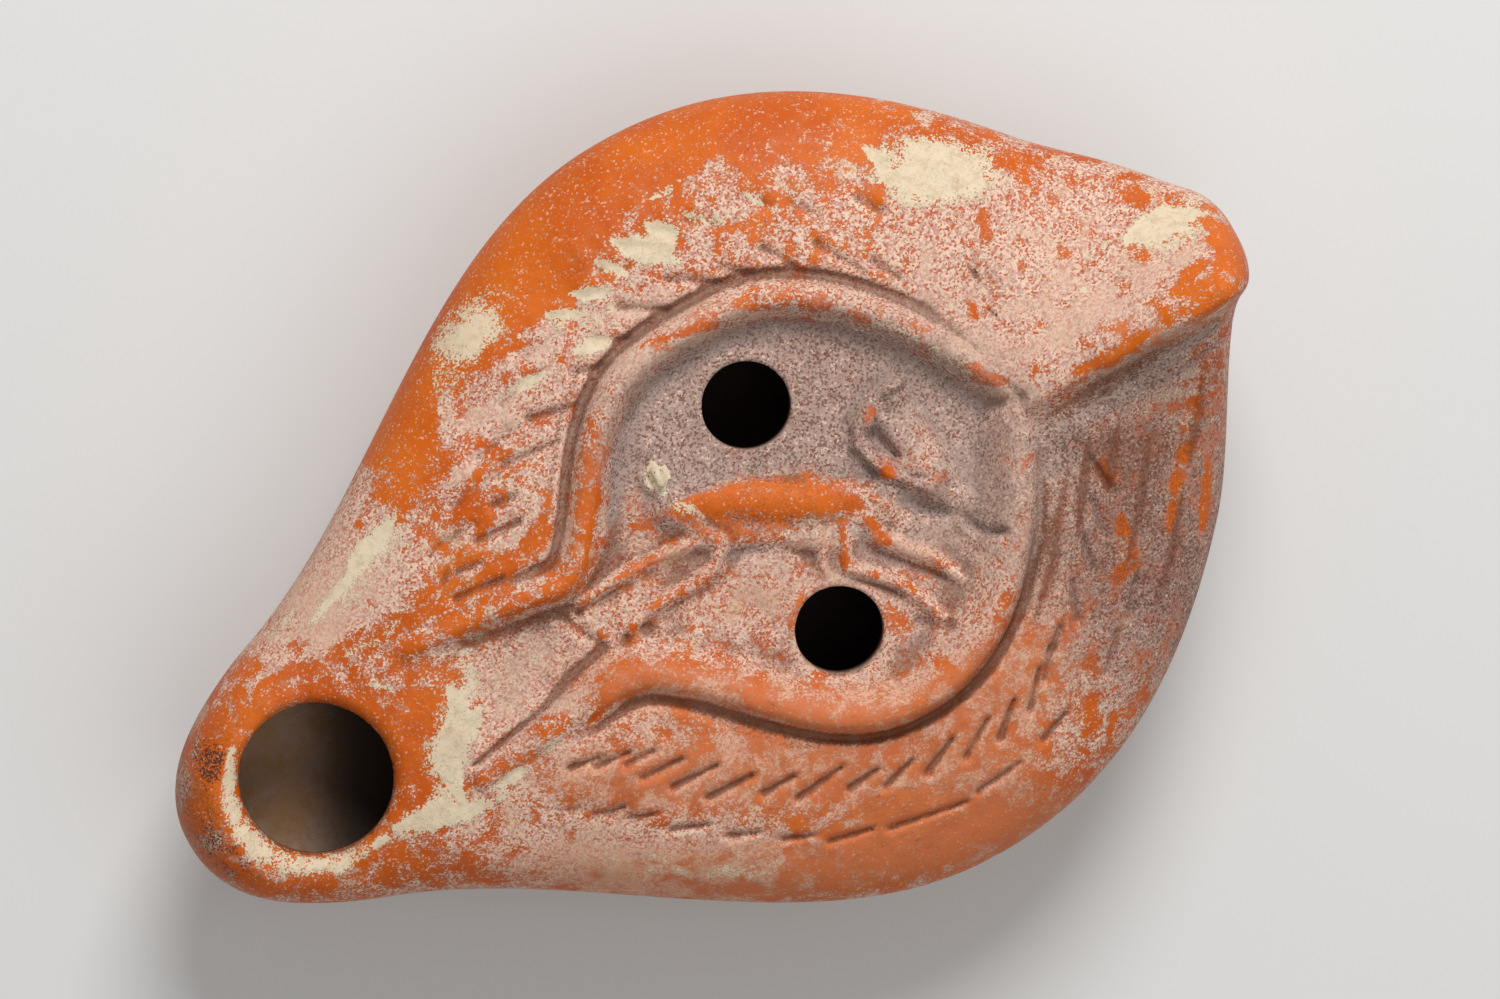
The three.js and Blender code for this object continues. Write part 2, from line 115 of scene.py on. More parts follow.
def blurred(grid: np.ndarray, radius: float) -> np.ndarray:
    """A grid of heights smoothed by a bell curve whose width is in cells."""
    reach = int(math.ceil(radius * 2.5))
    weights = np.exp(-0.5 * (np.arange(-reach, reach + 1) / radius) ** 2)
    weights /= weights.sum()
    padded = np.pad(grid, reach, mode="edge")
    for axis in (0, 1):
        padded = np.apply_along_axis(lambda row: np.convolve(row, weights, mode="same"), axis, padded)
    return padded[reach:-reach, reach:-reach]


# The lamp's form

@dataclass(frozen=True)
class LampForm:
    """Outer form of the lamp, before its relief and holes."""

    nozzle_end: float = 61.2
    handle_end: float = 61.2
    centre_x: float = -9.5
    half_width: float = 41.7
    rear_reach: float = 44.0
    rear_fullness: float = 2.2
    nozzle_half_width: float = 12.4
    nozzle_round: float = 15.0
    shoulder_top: float = 29.4
    nozzle_top: float = 27.1
    widest_height: float = 17.5
    underside: float = 1.6
    nozzle_underside: float = 9.5
    tail_underside: float = 15.0
    nose_round: float = 9.0
    wall: float = 3.0
    foot_radius: float = 18.0
    foot_ring_width: float = 2.6
    foot_recess: float = 0.9
    foot_flare: float = 0.35
    handle_peak: float = 37.5
    handle_crest_half_width: float = 2.0
    handle_steep_share: float = 0.54
    handle_steep_spread: float = 7.0
    handle_broad_spread: float = 6.0
    handle_tip_half_width: float = 5.0
    handle_tip_skew: float = 3.6
    handle_tail_height: float = 22.0
    handle_tip_round: float = 5.0
    handle_front_x: float = -30.5
    keel_half_width: float = 2.6
    keel_depth: float = 1.5
    keel_start: float = 6.0
    keel_end: Pair = (4.0, 14.0)
    skew_start: float = 7.5
    skew_end: float = 3.2
    tail_rise_start: float = 8.0
    crown_past_rear: float = 3.0
    crown_power: float = 2.6
    nozzle_run: Pair = (14.0, 44.0)
    nozzle_end_fall: float = 6.0
    crest_step: float = 0.4
    crest_power: float = 0.9
    broad_power: float = 2.2
    section_powers: Pair = (2.4, 3.0)
    tail_rise_power: float = 1.5
    recess_slope: float = 0.8
    foot_blend: float = 0.5

    def outline(self, x: np.ndarray) -> np.ndarray:
        """Half the lamp's width at x: drawn in to the handle behind, tapered to the nozzle."""
        share = np.clip((self.centre_x - x) / (self.centre_x + self.handle_end), 0.0, 1.0)
        drawn_in = self.half_width * (1.0 - np.power(share, self.rear_fullness))
        tip = self.handle_tip_half_width / 2.0
        tip_round = dome(np.maximum(0.0, tip - self.handle_end - x) / tip, 2)
        rear = tip_round * fillet(drawn_in, self.handle_tip_half_width, 3)
        taper_length = self.nozzle_end - self.centre_x - self.nozzle_half_width / 4.0
        along = np.clip((x - self.centre_x) / taper_length, 0.0, 1.0)
        taper = 0.5 * (1.0 + np.cos(np.pi * along))
        width = self.nozzle_half_width + (self.half_width - self.nozzle_half_width) * taper
        round_start = self.nozzle_end - self.nozzle_round
        front = width * dome(np.maximum(0.0, x - round_start) / self.nozzle_round, 2)
        return np.where(x < self.centre_x, rear, front)

    def skew(self, x: np.ndarray) -> np.ndarray:
        """How far the section at x stands out of line: only the handle's tail does."""
        start = self.centre_x - self.rear_reach + self.skew_start
        return -self.handle_tip_skew * ease(start, self.skew_end - self.handle_end, x)

    def across(self, x: np.ndarray, y: np.ndarray) -> np.ndarray:
        """Where a point lies across its section, from -1 to 1."""
        return (y - self.skew(x)) / np.maximum(1e-6, self.outline(x))

    def middle(self, x: np.ndarray) -> np.ndarray:
        """Height of the line where the side stands upright."""
        front = self.centre_x - self.rear_reach + self.tail_rise_start
        tail = 1.0 - ease(-self.handle_end, front, x)
        return self.widest_height + (self.handle_tail_height - self.widest_height) * tail

    def crown(self, x: np.ndarray) -> np.ndarray:
        """Height of the shoulders' crown along the middle, without the handle."""
        middle = self.middle(x)
        share = (x - self.centre_x) / (self.rear_reach + self.crown_past_rear)
        rear = middle + (self.shoulder_top - middle) * dome(share, self.crown_power)
        top = lerp(self.shoulder_top, self.nozzle_top, ease(*self.nozzle_run, x))
        fall = self.nozzle_end_fall
        nose = dome(np.maximum(0.0, x - (self.nozzle_end - fall)) / fall, 2)
        return np.where(x < self.centre_x, rear, middle + (top - middle) * nose)

    def handle_rise(self, x: np.ndarray) -> np.ndarray:
        """How far the handle's crest stands above the shoulders at x."""
        reach = self.handle_end - self.handle_tip_round + self.handle_front_x
        along = np.clip((self.handle_front_x - x) / reach, 0.0, 1.0)
        start = self.shoulder_top + self.crest_step
        crest = start + (self.handle_peak - start) * np.power(along, self.crest_power)
        middle = self.middle(x)
        past = np.maximum(0.0, self.handle_tip_round - self.handle_end - x)
        tip = dome(past / self.handle_tip_round, 2)
        rise = np.maximum(0.0, middle + (crest - middle) * tip - self.crown(x))
        return np.where(x > self.handle_front_x, 0.0, rise)

    def handle_flank(self, y: np.ndarray) -> np.ndarray:
        """Share of the handle's height left at y: steep on one side, broad on the other."""
        aside = np.maximum(0.0, -y) / self.handle_broad_spread
        broad = 1.0 / (1.0 + np.power(aside, self.broad_power))
        past = np.maximum(0.0, y)
        crest = self.handle_steep_share / (1.0 + np.power(past / self.handle_crest_half_width, 4))
        slope = (1.0 - self.handle_steep_share) / (1.0 + np.square(past / self.handle_steep_spread))
        return np.where(y <= 0.0, broad, crest + slope)

    def top(self, x: np.ndarray, y: np.ndarray) -> np.ndarray:
        """Height of the top face, before the field and holes are cut."""
        middle = self.middle(x)
        share = self.across(x, y)
        power = lerp(*self.section_powers, ease(*self.nozzle_run, x))
        shoulder = middle + (self.crown(x) - middle) * dome(share, power)
        return shoulder + self.handle_rise(x) * self.handle_flank(y) * dome(share, 4)

    def bowl(self, x: np.ndarray, y: np.ndarray) -> np.ndarray:
        """Height of the underside, without the foot."""
        middle = self.middle(x)
        share = self.across(x, y)
        foot = self.foot_radius / 2.0
        front = ease(self.centre_x + foot, self.nozzle_end - self.nose_round, x)
        rear = np.power(ease(self.centre_x - foot, -self.handle_end, x), self.tail_rise_power)
        rise = front * (self.nozzle_underside - self.underside)
        rise = rise + rear * (self.tail_underside - self.underside)
        nose = self.nose_round
        front_round = dome(np.maximum(0.0, x - (self.nozzle_end - nose)) / nose, 2)
        rear_round = dome(np.maximum(0.0, nose - self.handle_end - x) / nose, 2)
        lowest = middle - (middle - self.underside - rise) * front_round * rear_round
        return middle - (middle - lowest) * dome(share, 2)

    def bottom(self, x: np.ndarray, y: np.ndarray) -> np.ndarray:
        """Height of the underside with its foot ring and the rib behind it."""
        bowl = self.bowl(x, y)
        reach = np.clip(np.abs(y - self.skew(x)) / self.keel_half_width, 0.0, 1.0)
        foot_rear = self.centre_x - self.foot_radius
        present = ease(foot_rear, foot_rear - self.keel_start, x)
        last, first = self.keel_end
        present = present * ease(-self.handle_end + last, -self.handle_end + first, x)
        bowl = bowl - self.keel_depth * present * np.square(1.0 - np.square(reach))
        radius = np.hypot(x - self.centre_x, y)
        inner = self.foot_radius - self.foot_ring_width
        recess = self.foot_recess * ease(inner, inner - self.recess_slope, radius)
        side = np.maximum(0.0, radius - self.foot_radius) / self.foot_flare
        return -soft_max(-bowl, -(recess + side), self.foot_blend)


@dataclass(frozen=True)
class Holes:
    """Wick hole and the two filling holes."""

    wick_x: float = 47.0
    wick_diameter: float = 17.2
    wick_round: float = 1.5
    worn_turn: float = 20.0
    worn_more: float = 1.3
    worn_depth: float = 2.2
    worn_spread: Pair = (0.1, 1.0)
    mouth_shift: float = 0.85
    filling_diameter: float = 9.0
    filling_x: float = -8.3
    filling_y: float = 12.2
    filling_skew: float = 1.4
    filling_round: float = 0.5
    lip: float = 0.4
    lip_width: float = 1.0

    def filling_places(self) -> list[tuple[float, float]]:
        """Centres of the two filling holes."""
        return [
            (self.filling_x + side * self.filling_skew, side * self.filling_y)
            for side in (-1, 1)
        ]

    def mouth(self) -> tuple[float, float, float]:
        """Centre and radius of the wick hole, which is narrower where its mouth is worn."""
        turn = math.radians(self.worn_turn)
        x = self.wick_x - self.mouth_shift * math.cos(turn)
        return x, -self.mouth_shift * math.sin(turn), self.wick_diameter / 2.0 - self.mouth_shift

    def rim(self, x: np.ndarray, y: np.ndarray) -> np.ndarray:
        """What the holes' rounded rims and lips add to the height at a point."""
        change = np.zeros(x.shape)
        mouth_x, mouth_y, radius = self.mouth()
        facing = np.cos(np.arctan2(y - mouth_y, x - mouth_x) - math.radians(self.worn_turn))
        reach = self.wick_round * (1.0 + self.worn_more * ease(*self.worn_spread, facing))
        inward = np.clip(reach - np.hypot(x - mouth_x, y - mouth_y) + radius, 0.0, reach)
        depth = np.minimum(reach, self.worn_depth)
        change -= depth * (1.0 - np.sqrt(1.0 - np.square(inward / reach) + 1e-9))
        for place_x, place_y in self.filling_places():
            edge = np.hypot(x - place_x, y - place_y) - self.filling_diameter / 2.0
            change += self.lip * np.exp(-np.square(edge / self.lip_width))
            inward = np.clip(self.filling_round - edge, 0.0, self.filling_round)
            change -= self.filling_round - np.sqrt(self.filling_round**2 - inward**2 + 1e-9)
        return change


@dataclass(frozen=True)
class LoopSide:
    """One side of the ridge round the field, and how it runs into the channel."""

    side: int
    length: float
    lateness: float
    inner_flank: float
    channel_flank: float
    channel_crest: float


@dataclass(frozen=True)
class Field:
    """Sunken picture field with its ridge, its groove and the channel to the nozzle."""

    form: LampForm = LampForm()
    centre_x: float = -10.5
    floor: float = 26.7
    ridge_radius: float = 21.9
    ridge_half_width: float = 2.1
    ridge_crest: float = 30.3
    ridge_depth: float = 2.4
    rear_reach: float = 23.6
    rear_fullness: float = 2.25
    channel_half_width: float = 3.3
    channel_spread: float = 0.11
    channel_end: float = 35.5
    groove_gap: float = 2.4
    groove_half_width: float = 0.55
    groove_depth: float = 1.1
    groove_front: Pair = (12.0, 3.0)
    groove_rear: Pair = (1.5, 9.0)
    relief_half_length: float = 52.0
    relief_half_width: float = 32.0
    relief_past_channel: float = 8.0
    ridge_steps: int = 110
    ridge_sink: Pair = (-3.0, 15.0)
    floor_rise_start: float = 15.0
    channel_fade: Pair = (4.0, 3.0)
    channel_roundness: float = 0.3
    channel_depth: float = 0.1
    edge_blend: Pair = (0.6, -1.2)
    inner_extra: float = 0.2
    inner_power: float = 2.2
    outer_power: float = 2.5
    end_drop: float = 5.0
    bead_blend: float = 0.6
    sides: tuple[LoopSide, ...] = (
        LoopSide(-1, 26.0, 1.9, 2.2, 1.4, 0.5),
        LoopSide(1, 26.5, 1.15, 3.2, 2.6, 0.45),
    )

    def loop_half_width(self, x: np.ndarray, side: LoopSide) -> np.ndarray:
        """Distance of one side of the ridge's pear-shaped loop from the middle at x."""
        behind = np.clip((self.centre_x - x) / self.rear_reach, 0.0, 1.0)
        rear = self.ridge_radius * (1.0 - np.power(behind, self.rear_fullness))
        ahead = np.clip((x - self.centre_x) / side.length, 0.0, 1.0)
        taper = 0.5 * (1.0 + np.cos(np.pi * np.power(ahead, side.lateness)))
        neck = self.channel_half_width + self.ridge_half_width
        spread = self.channel_spread * np.maximum(0.0, x - self.centre_x - self.ridge_radius)
        return np.where(x < self.centre_x, rear, neck + (self.ridge_radius - neck) * taper + spread)

    def ridge_line(self, side: LoopSide) -> list[tuple[float, float]]:
        """One side of the ridge's crest, from the handle to the nozzle."""
        turn = np.linspace(0.0, 1.0, self.ridge_steps)
        x = lerp(self.centre_x - self.rear_reach, self.channel_end, 0.5 - 0.5 * np.cos(np.pi * turn))
        return list(zip(x, self.loop_half_width(x, side)))

    def height(self, x: np.ndarray, y: np.ndarray) -> np.ndarray:
        """Height of the top face with the field, ridge, groove and channel."""
        result = self.form.top(x, y)
        for side in self.sides:
            near = np.abs(x - self.centre_x) < self.relief_half_length
            near &= np.abs(y) < self.relief_half_width
            near &= (y * side.side >= 0.0) & (x < self.channel_end + self.relief_past_channel)
            result[near] = self.side_height(x[near], np.abs(y[near]), result[near], side)
        return result

    def side_height(self, x: np.ndarray, y: np.ndarray, shoulder: np.ndarray,
                    side: LoopSide) -> np.ndarray:
        """Height of the top face on one side.

        Args:
            x: The points' x.
            y: Their distance from the middle.
            shoulder: Height of the plain top face there.
            side: Which side it is.

        Returns:
            The height with the relief.
        """
        gap, _ = distance_to_line(x, y, self.ridge_line(side))
        rear_end = self.centre_x - self.rear_reach
        within = (y < self.loop_half_width(x, side)) & (x > rear_end)
        gap = np.where(within, -gap, gap)
        neck_x = self.centre_x + self.ridge_radius
        start, stop = self.ridge_sink
        sink = ease(neck_x + start, neck_x + stop, x)
        crest = lerp(self.ridge_crest, shoulder + side.channel_crest, sink)
        before, after = self.channel_fade
        rising = ease(self.floor_rise_start, self.channel_end + after, x)
        channel = self.form.top(x, y * self.channel_roundness) - self.channel_depth
        floor = lerp(self.floor, channel, rising)
        past_end = ease(self.channel_end - before, self.channel_end + after, x)
        base = lerp(shoulder, floor, ease(*self.edge_blend, gap) * (1.0 - past_end))
        inner = lerp(side.inner_flank, side.channel_flank, sink)
        inner_share = np.power(np.abs(gap) / inner, self.inner_power)
        fall = (crest - floor + self.inner_extra) * (1.0 - np.exp(-inner_share))
        outer_share = np.power(np.abs(gap) / self.ridge_half_width, self.outer_power)
        outer_fall = self.ridge_depth * outer_share
        bead = crest - np.where(gap < 0.0, fall, outer_fall) - self.end_drop * past_end
        raised = soft_max(base, bead, self.bead_blend)
        groove = np.exp(-np.square((gap - self.groove_gap) / self.groove_half_width))
        start, stop = self.groove_front
        groove_end = ease(neck_x + start, neck_x + stop, x)
        start, stop = self.groove_rear
        groove_end = groove_end * ease(rear_end + start, rear_end + stop, x)
        return raised - self.groove_depth * groove * groove_end


@dataclass(frozen=True)
class Touch:
    """A line of relief: raised where rise is above 0, pressed in where it is below."""

    joints: Line
    half_width: float
    rise: float
    end_half_width: float | None = None
    square: float = 2.0
    reach: float = 2.2
    swell: float = 1.25
    root: float = 3.0
    blend: float = 0.45

    def add_to(self, height: np.ndarray, x: np.ndarray, y: np.ndarray, ground: float) -> None:
        """Raise or press a height in place along this line.

        Args:
            height: Heights, changed in place.
            x: The points' x.
            y: The points' y.
            ground: Height that a raised line stands on.
        """
        joints = np.asarray(self.joints, float)
        reach = self.reach * max(self.half_width, self.end_half_width or 0.0)
        low, high = joints.min(0) - reach, joints.max(0) + reach
        near = (x > low[0]) & (x < high[0]) & (y > low[1]) & (y < high[1])
        if not near.any():
            return
        gap, along = distance_to_line(x[near], y[near], self.joints)
        end = self.half_width if self.end_half_width is None else self.end_half_width
        share = gap / lerp(self.half_width, end, along)
        if self.rise < 0.0:
            height[near] += self.rise * np.exp(-np.power(share, self.square))
            return
        body = ground + self.rise * (self.swell - self.swell * np.power(share, self.square))
        height[near] = soft_max(height[near], np.maximum(body, ground - self.root), self.blend)


@dataclass(frozen=True)
class StrokeRow:
    """A row of strokes pressed in one shoulder: each from its front end to its rear end."""

    side: int
    half_width: float
    depth: float
    strokes: tuple[tuple[float, float, float, float], ...]
    taper: float = 0.6

    def touches(self) -> list[Touch]:
        """The row's strokes, as pressed lines that taper to the rear."""
        pressed = []
        for front_x, front_y, rear_x, rear_y in self.strokes:
            ends = [(front_x, self.side * front_y), (rear_x, self.side * rear_y)]
            tail = self.half_width * self.taper
            pressed.append(Touch(ends, self.half_width, -self.depth, tail))
        return pressed


@dataclass(frozen=True)
class Shoulders:
    """Palm branches on both shoulders: a long inner row and a short outer row on each."""

    rows: tuple[StrokeRow, ...] = (
        StrokeRow(1, 0.5, 0.75, (
            (23.4, 10.9, 20.2, 11.3), (21.2, 12.0, 17.4, 12.3), (18.4, 13.3, 15.2, 13.4),
            (17.5, 15.3, 13.2, 15.6), (15.3, 17.7, 10.4, 17.9), (12.8, 20.4, 7.8, 20.6),
            (7.7, 22.8, 4.2, 22.8), (4.9, 25.0, -0.4, 24.4), (-0.1, 26.7, -3.5, 26.4),
            (-3.3, 28.4, -7.0, 27.3), (-7.8, 29.2, -11.5, 27.4), (-11.8, 29.8, -15.7, 27.4),
            (-15.8, 29.8, -18.8, 27.1), (-19.8, 28.8, -22.6, 25.4), (-22.5, 26.8, -24.5, 24.2),
            (-24.7, 24.4, -26.5, 22.7), (-28.2, 22.9, -29.6, 19.3), (-31.8, 19.0, -32.8, 16.0),
            (-34.7, 16.7, -35.5, 13.1), (-37.5, 13.5, -37.3, 9.2),
        )),
        StrokeRow(1, 0.48, 0.6, (
            (26.1, 14.1, 23.7, 15.1), (23.7, 16.3, 20.6, 17.1), (21.2, 18.2, 18.2, 19.3),
            (17.5, 21.6, 14.1, 23.0), (12.9, 25.1, 10.2, 26.2), (8.4, 28.1, 5.4, 29.3),
            (4.3, 30.7, 0.0, 31.7), (-1.6, 32.6, -9.7, 34.1), (-11.3, 33.7, -16.3, 33.2),
            (-19.5, 32.3, -22.9, 31.0), (-28.4, 29.5, -31.2, 26.4), (-33.4, 25.3, -35.6, 22.3),
        )),
        StrokeRow(-1, 0.5, 0.65, (
            (25.0, 12.1, 21.1, 11.6), (25.0, 9.7, 19.9, 9.3), (20.6, 13.7, 15.6, 13.4),
            (17.2, 16.0, 14.8, 15.8), (14.3, 19.1, 8.4, 18.4), (9.9, 21.9, 5.4, 20.7),
            (3.8, 23.7, 1.0, 22.8), (0.4, 25.4, -2.8, 23.8), (-3.3, 27.2, -7.6, 24.5),
            (-9.0, 27.2, -13.1, 24.6), (-14.1, 25.6, -16.6, 23.7), (-18.7, 25.3, -20.7, 22.3),
            (-23.7, 23.1, -26.4, 18.1), (-27.7, 18.8, -29.3, 15.9),
        )),
        StrokeRow(-1, 0.8, 0.45, (
            (24.6, 15.1, 20.0, 15.3), (20.6, 17.8, 15.4, 18.4), (16.2, 20.8, 11.2, 21.8),
            (11.4, 24.4, 7.2, 25.2), (7.0, 27.4, 3.4, 27.8), (3.0, 29.0, -0.8, 28.4),
            (-0.2, 29.9, -2.6, 29.0), (-3.6, 31.3, -5.9, 30.3), (-6.7, 32.1, -8.7, 30.9),
            (-9.7, 32.2, -11.7, 30.9), (-13.7, 31.3, -15.7, 29.7), (-19.5, 30.5, -21.5, 28.6),
            (-23.7, 27.6, -25.3, 25.4), (-29.5, 24.8, -31.0, 22.6),
        )),
    )

    def touches(self) -> list[Touch]:
        """Every stroke of every row."""
        return [touch for row in self.rows for touch in row.touches()]


@dataclass(frozen=True)
class Animal:
    """Running animal that looks back, in low relief on the field."""

    ground: float = 26.7
    raised: tuple[Touch, ...] = (
        Touch([(1.6, -6.6), (-2.1, -5.3), (-6.0, -3.1), (-9.7, -0.7), (-13.8, 1.2)], 2.5, 0.95, 2.5),
        Touch([(-0.2, -3.9), (-2.8, -1.4), (-6.7, 0.8), (-10.9, 3.2), (-14.6, 3.7)], 2.0, 0.75, 2.2),
        Touch([(-14.3, 2.4), (-18.5, 2.5), (-22.4, 2.9)], 2.6, 0.7, 2.8),
        Touch([(-22.3, 3.0), (-22.3, -1.6), (-22.1, -4.3)], 3.0, 1.25, 2.3),
        Touch([(-20.1, 0.3), (-18.5, -1.3), (-18.1, -3.2)], 1.2, 1.15, 0.9),
        Touch([(-18.6, -4.4), (-20.8, -5.8), (-23.0, -5.5)], 1.2, 1.3, 1.3),
        Touch([(-22.4, 2.2), (-22.5, 2.3)], 0.8, 1.6, 0.8),
        Touch([(-22.6, 3.8), (-24.1, 6.4), (-25.1, 9.2)], 2.3, 0.6, 1.6),
        Touch([(-22.8, 8.8), (-23.9, 11.5), (-26.2, 11.9)], 0.8, 0.8, 0.5),
        Touch([(-13.8, 3.2), (-14.5, 5.6)], 2.0, 0.8, 1.6),
        Touch([(-14.3, 5.5), (-16.7, 8.0), (-18.8, 10.7), (-20.8, 15.1)], 1.3, 0.75, 0.8),
        Touch([(-12.5, 2.8), (-10.5, 7.2)], 0.8, 0.85, 0.8),
        Touch([(-10.6, 7.0), (-12.5, 8.8), (-14.3, 10.9), (-15.7, 13.6), (-16.6, 16.0)], 1.0, 0.85, 0.7),
        Touch([(-9.5, 2.6), (-9.7, 4.0), (-8.4, 5.3), (-8.4, 6.3)], 0.6, 0.75, 0.5),
        Touch([(0.4, -4.1), (-0.7, -1.6)], 1.8, 0.95, 1.5),
        Touch([(0.7, -2.4), (3.0, -2.8), (6.1, -3.1), (10.0, -3.4), (14.4, -3.3)], 1.1, 0.85, 0.8),
        Touch([(-0.6, -1.3), (0.4, 0.4), (3.6, 0.9), (6.8, 0.8), (8.8, 1.0)], 1.1, 0.85, 0.8),
        Touch([(8.8, 1.0), (10.9, 1.5), (12.6, 2.0)], 0.8, 0.65, 0.6),
        Touch([(2.0, -7.9), (3.0, -10.3), (2.4, -12.2), (1.0, -13.3)], 0.6, 0.75, 0.45),
        Touch([(1.4, -10.9), (1.6, -9.6)], 0.8, 1.3, 0.7),
        Touch([(-24.0, -6.9), (-22.1, -6.9), (-20.1, -6.2), (-18.4, -5.2),
               (-17.4, -3.5), (-17.6, -1.7), (-18.5, -0.1)], 0.75, 1.75, 0.6),
        Touch([(-18.6, 0.2), (-20.0, 2.1), (-21.8, 4.0)], 1.1, 1.45, 0.8),
        Touch([(-21.0, 1.7), (-21.9, 1.2), (-23.0, 1.5), (-23.5, 2.4)], 0.35, 1.6, 0.3),
    )
    pressed: tuple[Touch, ...] = (
        Touch([(-0.2, 0.7), (-2.5, 0.4), (-5.6, 1.6), (-7.7, 3.7), (-8.1, 5.6)], 0.5, -0.38, 0.4),
        Touch([(-18.6, -4.2), (-19.4, -2.3), (-20.2, -0.4)], 0.4, -0.65, 0.3),
        Touch([(-17.6, -0.1), (-17.2, -2.6), (-17.7, -4.6), (-19.6, -6.0), (-22.0, -6.9)], 0.35, -0.6, 0.3),
        Touch([(-14.0, 3.9), (-13.4, 5.6), (-14.3, 7.6), (-16.3, 10.0), (-18.7, 12.9)], 0.35, -0.5, 0.3),
        Touch([(-9.8, 7.1), (-12.1, 9.7), (-14.3, 12.2)], 0.35, -0.45, 0.3),
        Touch([(-18.6, 4.4), (-21.6, 6.9)], 0.8, -0.35, 0.6),
        Touch([(-23.3, 9.3), (-24.6, 10.9), (-26.3, 11.2)], 0.4, -0.65, 0.3),
        Touch([(1.6, -2.0), (4.9, -2.6), (7.8, -2.7)], 0.35, -0.5, 0.3),
        Touch([(-0.7, -3.6), (-2.0, -2.0), (-1.7, -0.7)], 0.35, -0.5, 0.3),
        Touch([(0.7, -13.1), (2.5, -11.5), (2.8, -9.0)], 0.3, -0.5, 0.3),
        Touch([(9.9, 2.4), (9.8, 2.5)], 0.5, -0.8, 0.5),
        Touch([(12.2, 2.0), (12.2, 2.1)], 0.5, -0.8, 0.5),
        Touch([(15.0, -2.2), (15.0, -2.1)], 0.4, -0.6, 0.4),
        Touch([(-16.8, 17.1), (-16.9, 17.2)], 0.45, -0.7, 0.45),
        Touch([(-14.2, 15.2), (-15.2, 16.3)], 0.35, -0.6, 0.3),
        Touch([(-21.8, 1.3), (-23.0, 1.2), (-23.7, 2.1)], 0.25, -0.35, 0.25),
        Touch([(14.6, 2.0), (18.7, 2.9), (23.3, 4.5), (27.6, 5.2), (31.7, 6.0)], 0.42, -0.8, 0.3),
        Touch([(16.7, -2.8), (16.1, -1.2), (14.8, 1.2)], 0.4, -0.5, 0.4),
        Touch([(-17.2, -2.7), (-17.3, -1.2), (-18.0, 0.4)], 0.35, -0.5, 0.3),
        Touch([(-19.4, -3.8), (-20.0, -2.2), (-20.4, -0.3)], 0.35, -0.8, 0.25),
        Touch([(-21.5, -5.8), (-22.2, -4.5), (-22.3, -3.1)], 0.9, -0.55, 0.9),
        Touch([(-21.2, 2.1), (-21.6, 2.8), (-22.4, 3.0), (-23.0, 2.6)], 0.3, -0.5, 0.3),
        Touch([(-18.8, 3.2), (-20.4, 5.5), (-22.1, 7.1)], 0.8, -0.6, 0.6),
        Touch([(-23.3, 8.8), (-24.5, 10.3), (-25.9, 11.3)], 0.75, -0.7, 0.5),
        Touch([(-24.5, 8.4), (-25.6, 9.6)], 0.4, -0.4, 0.3),
    )

    def add_to(self, height: np.ndarray, x: np.ndarray, y: np.ndarray) -> None:
        """Raise the animal from the field and press its details, in place."""
        for touch in (*self.raised, *self.pressed):
            touch.add_to(height, x, y, self.ground)


@dataclass(frozen=True)
class Unevenness:
    """Soft lumps of a hand-pressed and worn surface, as a sum of waves."""

    seed: int = 5
    layers: tuple[tuple[float, float], ...] = ((15.0, 0.16), (6.5, 0.09), (2.6, 0.045))
    waves: int = 9

    def at(self, x: np.ndarray, y: np.ndarray) -> np.ndarray:
        """Height of the lumps at each point."""
        chance = random.Random(self.seed)
        height = np.zeros(x.shape)
        for length, swing in self.layers:
            for _ in range(self.waves):
                heading, phase = chance.uniform(0.0, math.tau), chance.uniform(0.0, math.tau)
                pitch = math.tau / (length * chance.uniform(0.8, 1.5))
                run = x * math.cos(heading) + y * math.sin(heading)
                height += swing / math.sqrt(self.waves) * np.sin(run * pitch + phase)
        return height


# Where the surface looks different

class Mask(Enum):
    """What a patch of the surface has more or less of."""

    BLOOM = "bloom"
    CREAM = "cream"
    GREY = "grey"
    # Soot at the nozzle and in small pits; on the nozzle's shaded side it is also painted shade.
    SOOT = "soot_and_shade"
    # Brown stains and pits, and painted shade on walls and slopes turned from the light.
    BROWN = "stain_and_shade"
    # Painted shade in the top face's hollows and creases.
    HOLLOW_SHADE = "recess"
    ROSY = "rosy"


# What a mask is where no patch or streak lies; hollows set the hollow-shade mask, which paints shade in
# them.
PLAIN = {Mask.BLOOM: 0.5, Mask.CREAM: 0.05, Mask.GREY: 0.1, Mask.SOOT: 0.0, Mask.BROWN: 0.0, Mask.ROSY: 0.1}


@dataclass(frozen=True)
class Patch:
    """Soft-edged oval on the top face where a mask is stronger or weaker."""

    centre: Pair
    reach: Pair
    turn: float
    amount: float

    def weigh(self, x: np.ndarray, y: np.ndarray) -> np.ndarray:
        """What the patch adds to its mask at each point."""
        turn = math.radians(self.turn)
        across, up = x - self.centre[0], y - self.centre[1]
        first = (across * math.cos(turn) + up * math.sin(turn)) / self.reach[0]
        second = (up * math.cos(turn) - across * math.sin(turn)) / self.reach[1]
        return self.amount * np.exp(-0.7 * np.power(first**2 + second**2, 1.5))


@dataclass(frozen=True)
class Streak:
    """Band along a line on the top face where a mask is stronger or weaker."""

    joints: Line
    half_width: float
    amount: float

    def weigh(self, x: np.ndarray, y: np.ndarray) -> np.ndarray:
        """What the band adds to its mask at each point; it thins out at its ends."""
        gap, along = distance_to_line(x, y, self.joints)
        width = self.half_width * (0.35 + 0.65 * np.sin(np.pi * along))
        return self.amount * np.exp(-np.power(gap / width, 3.0))


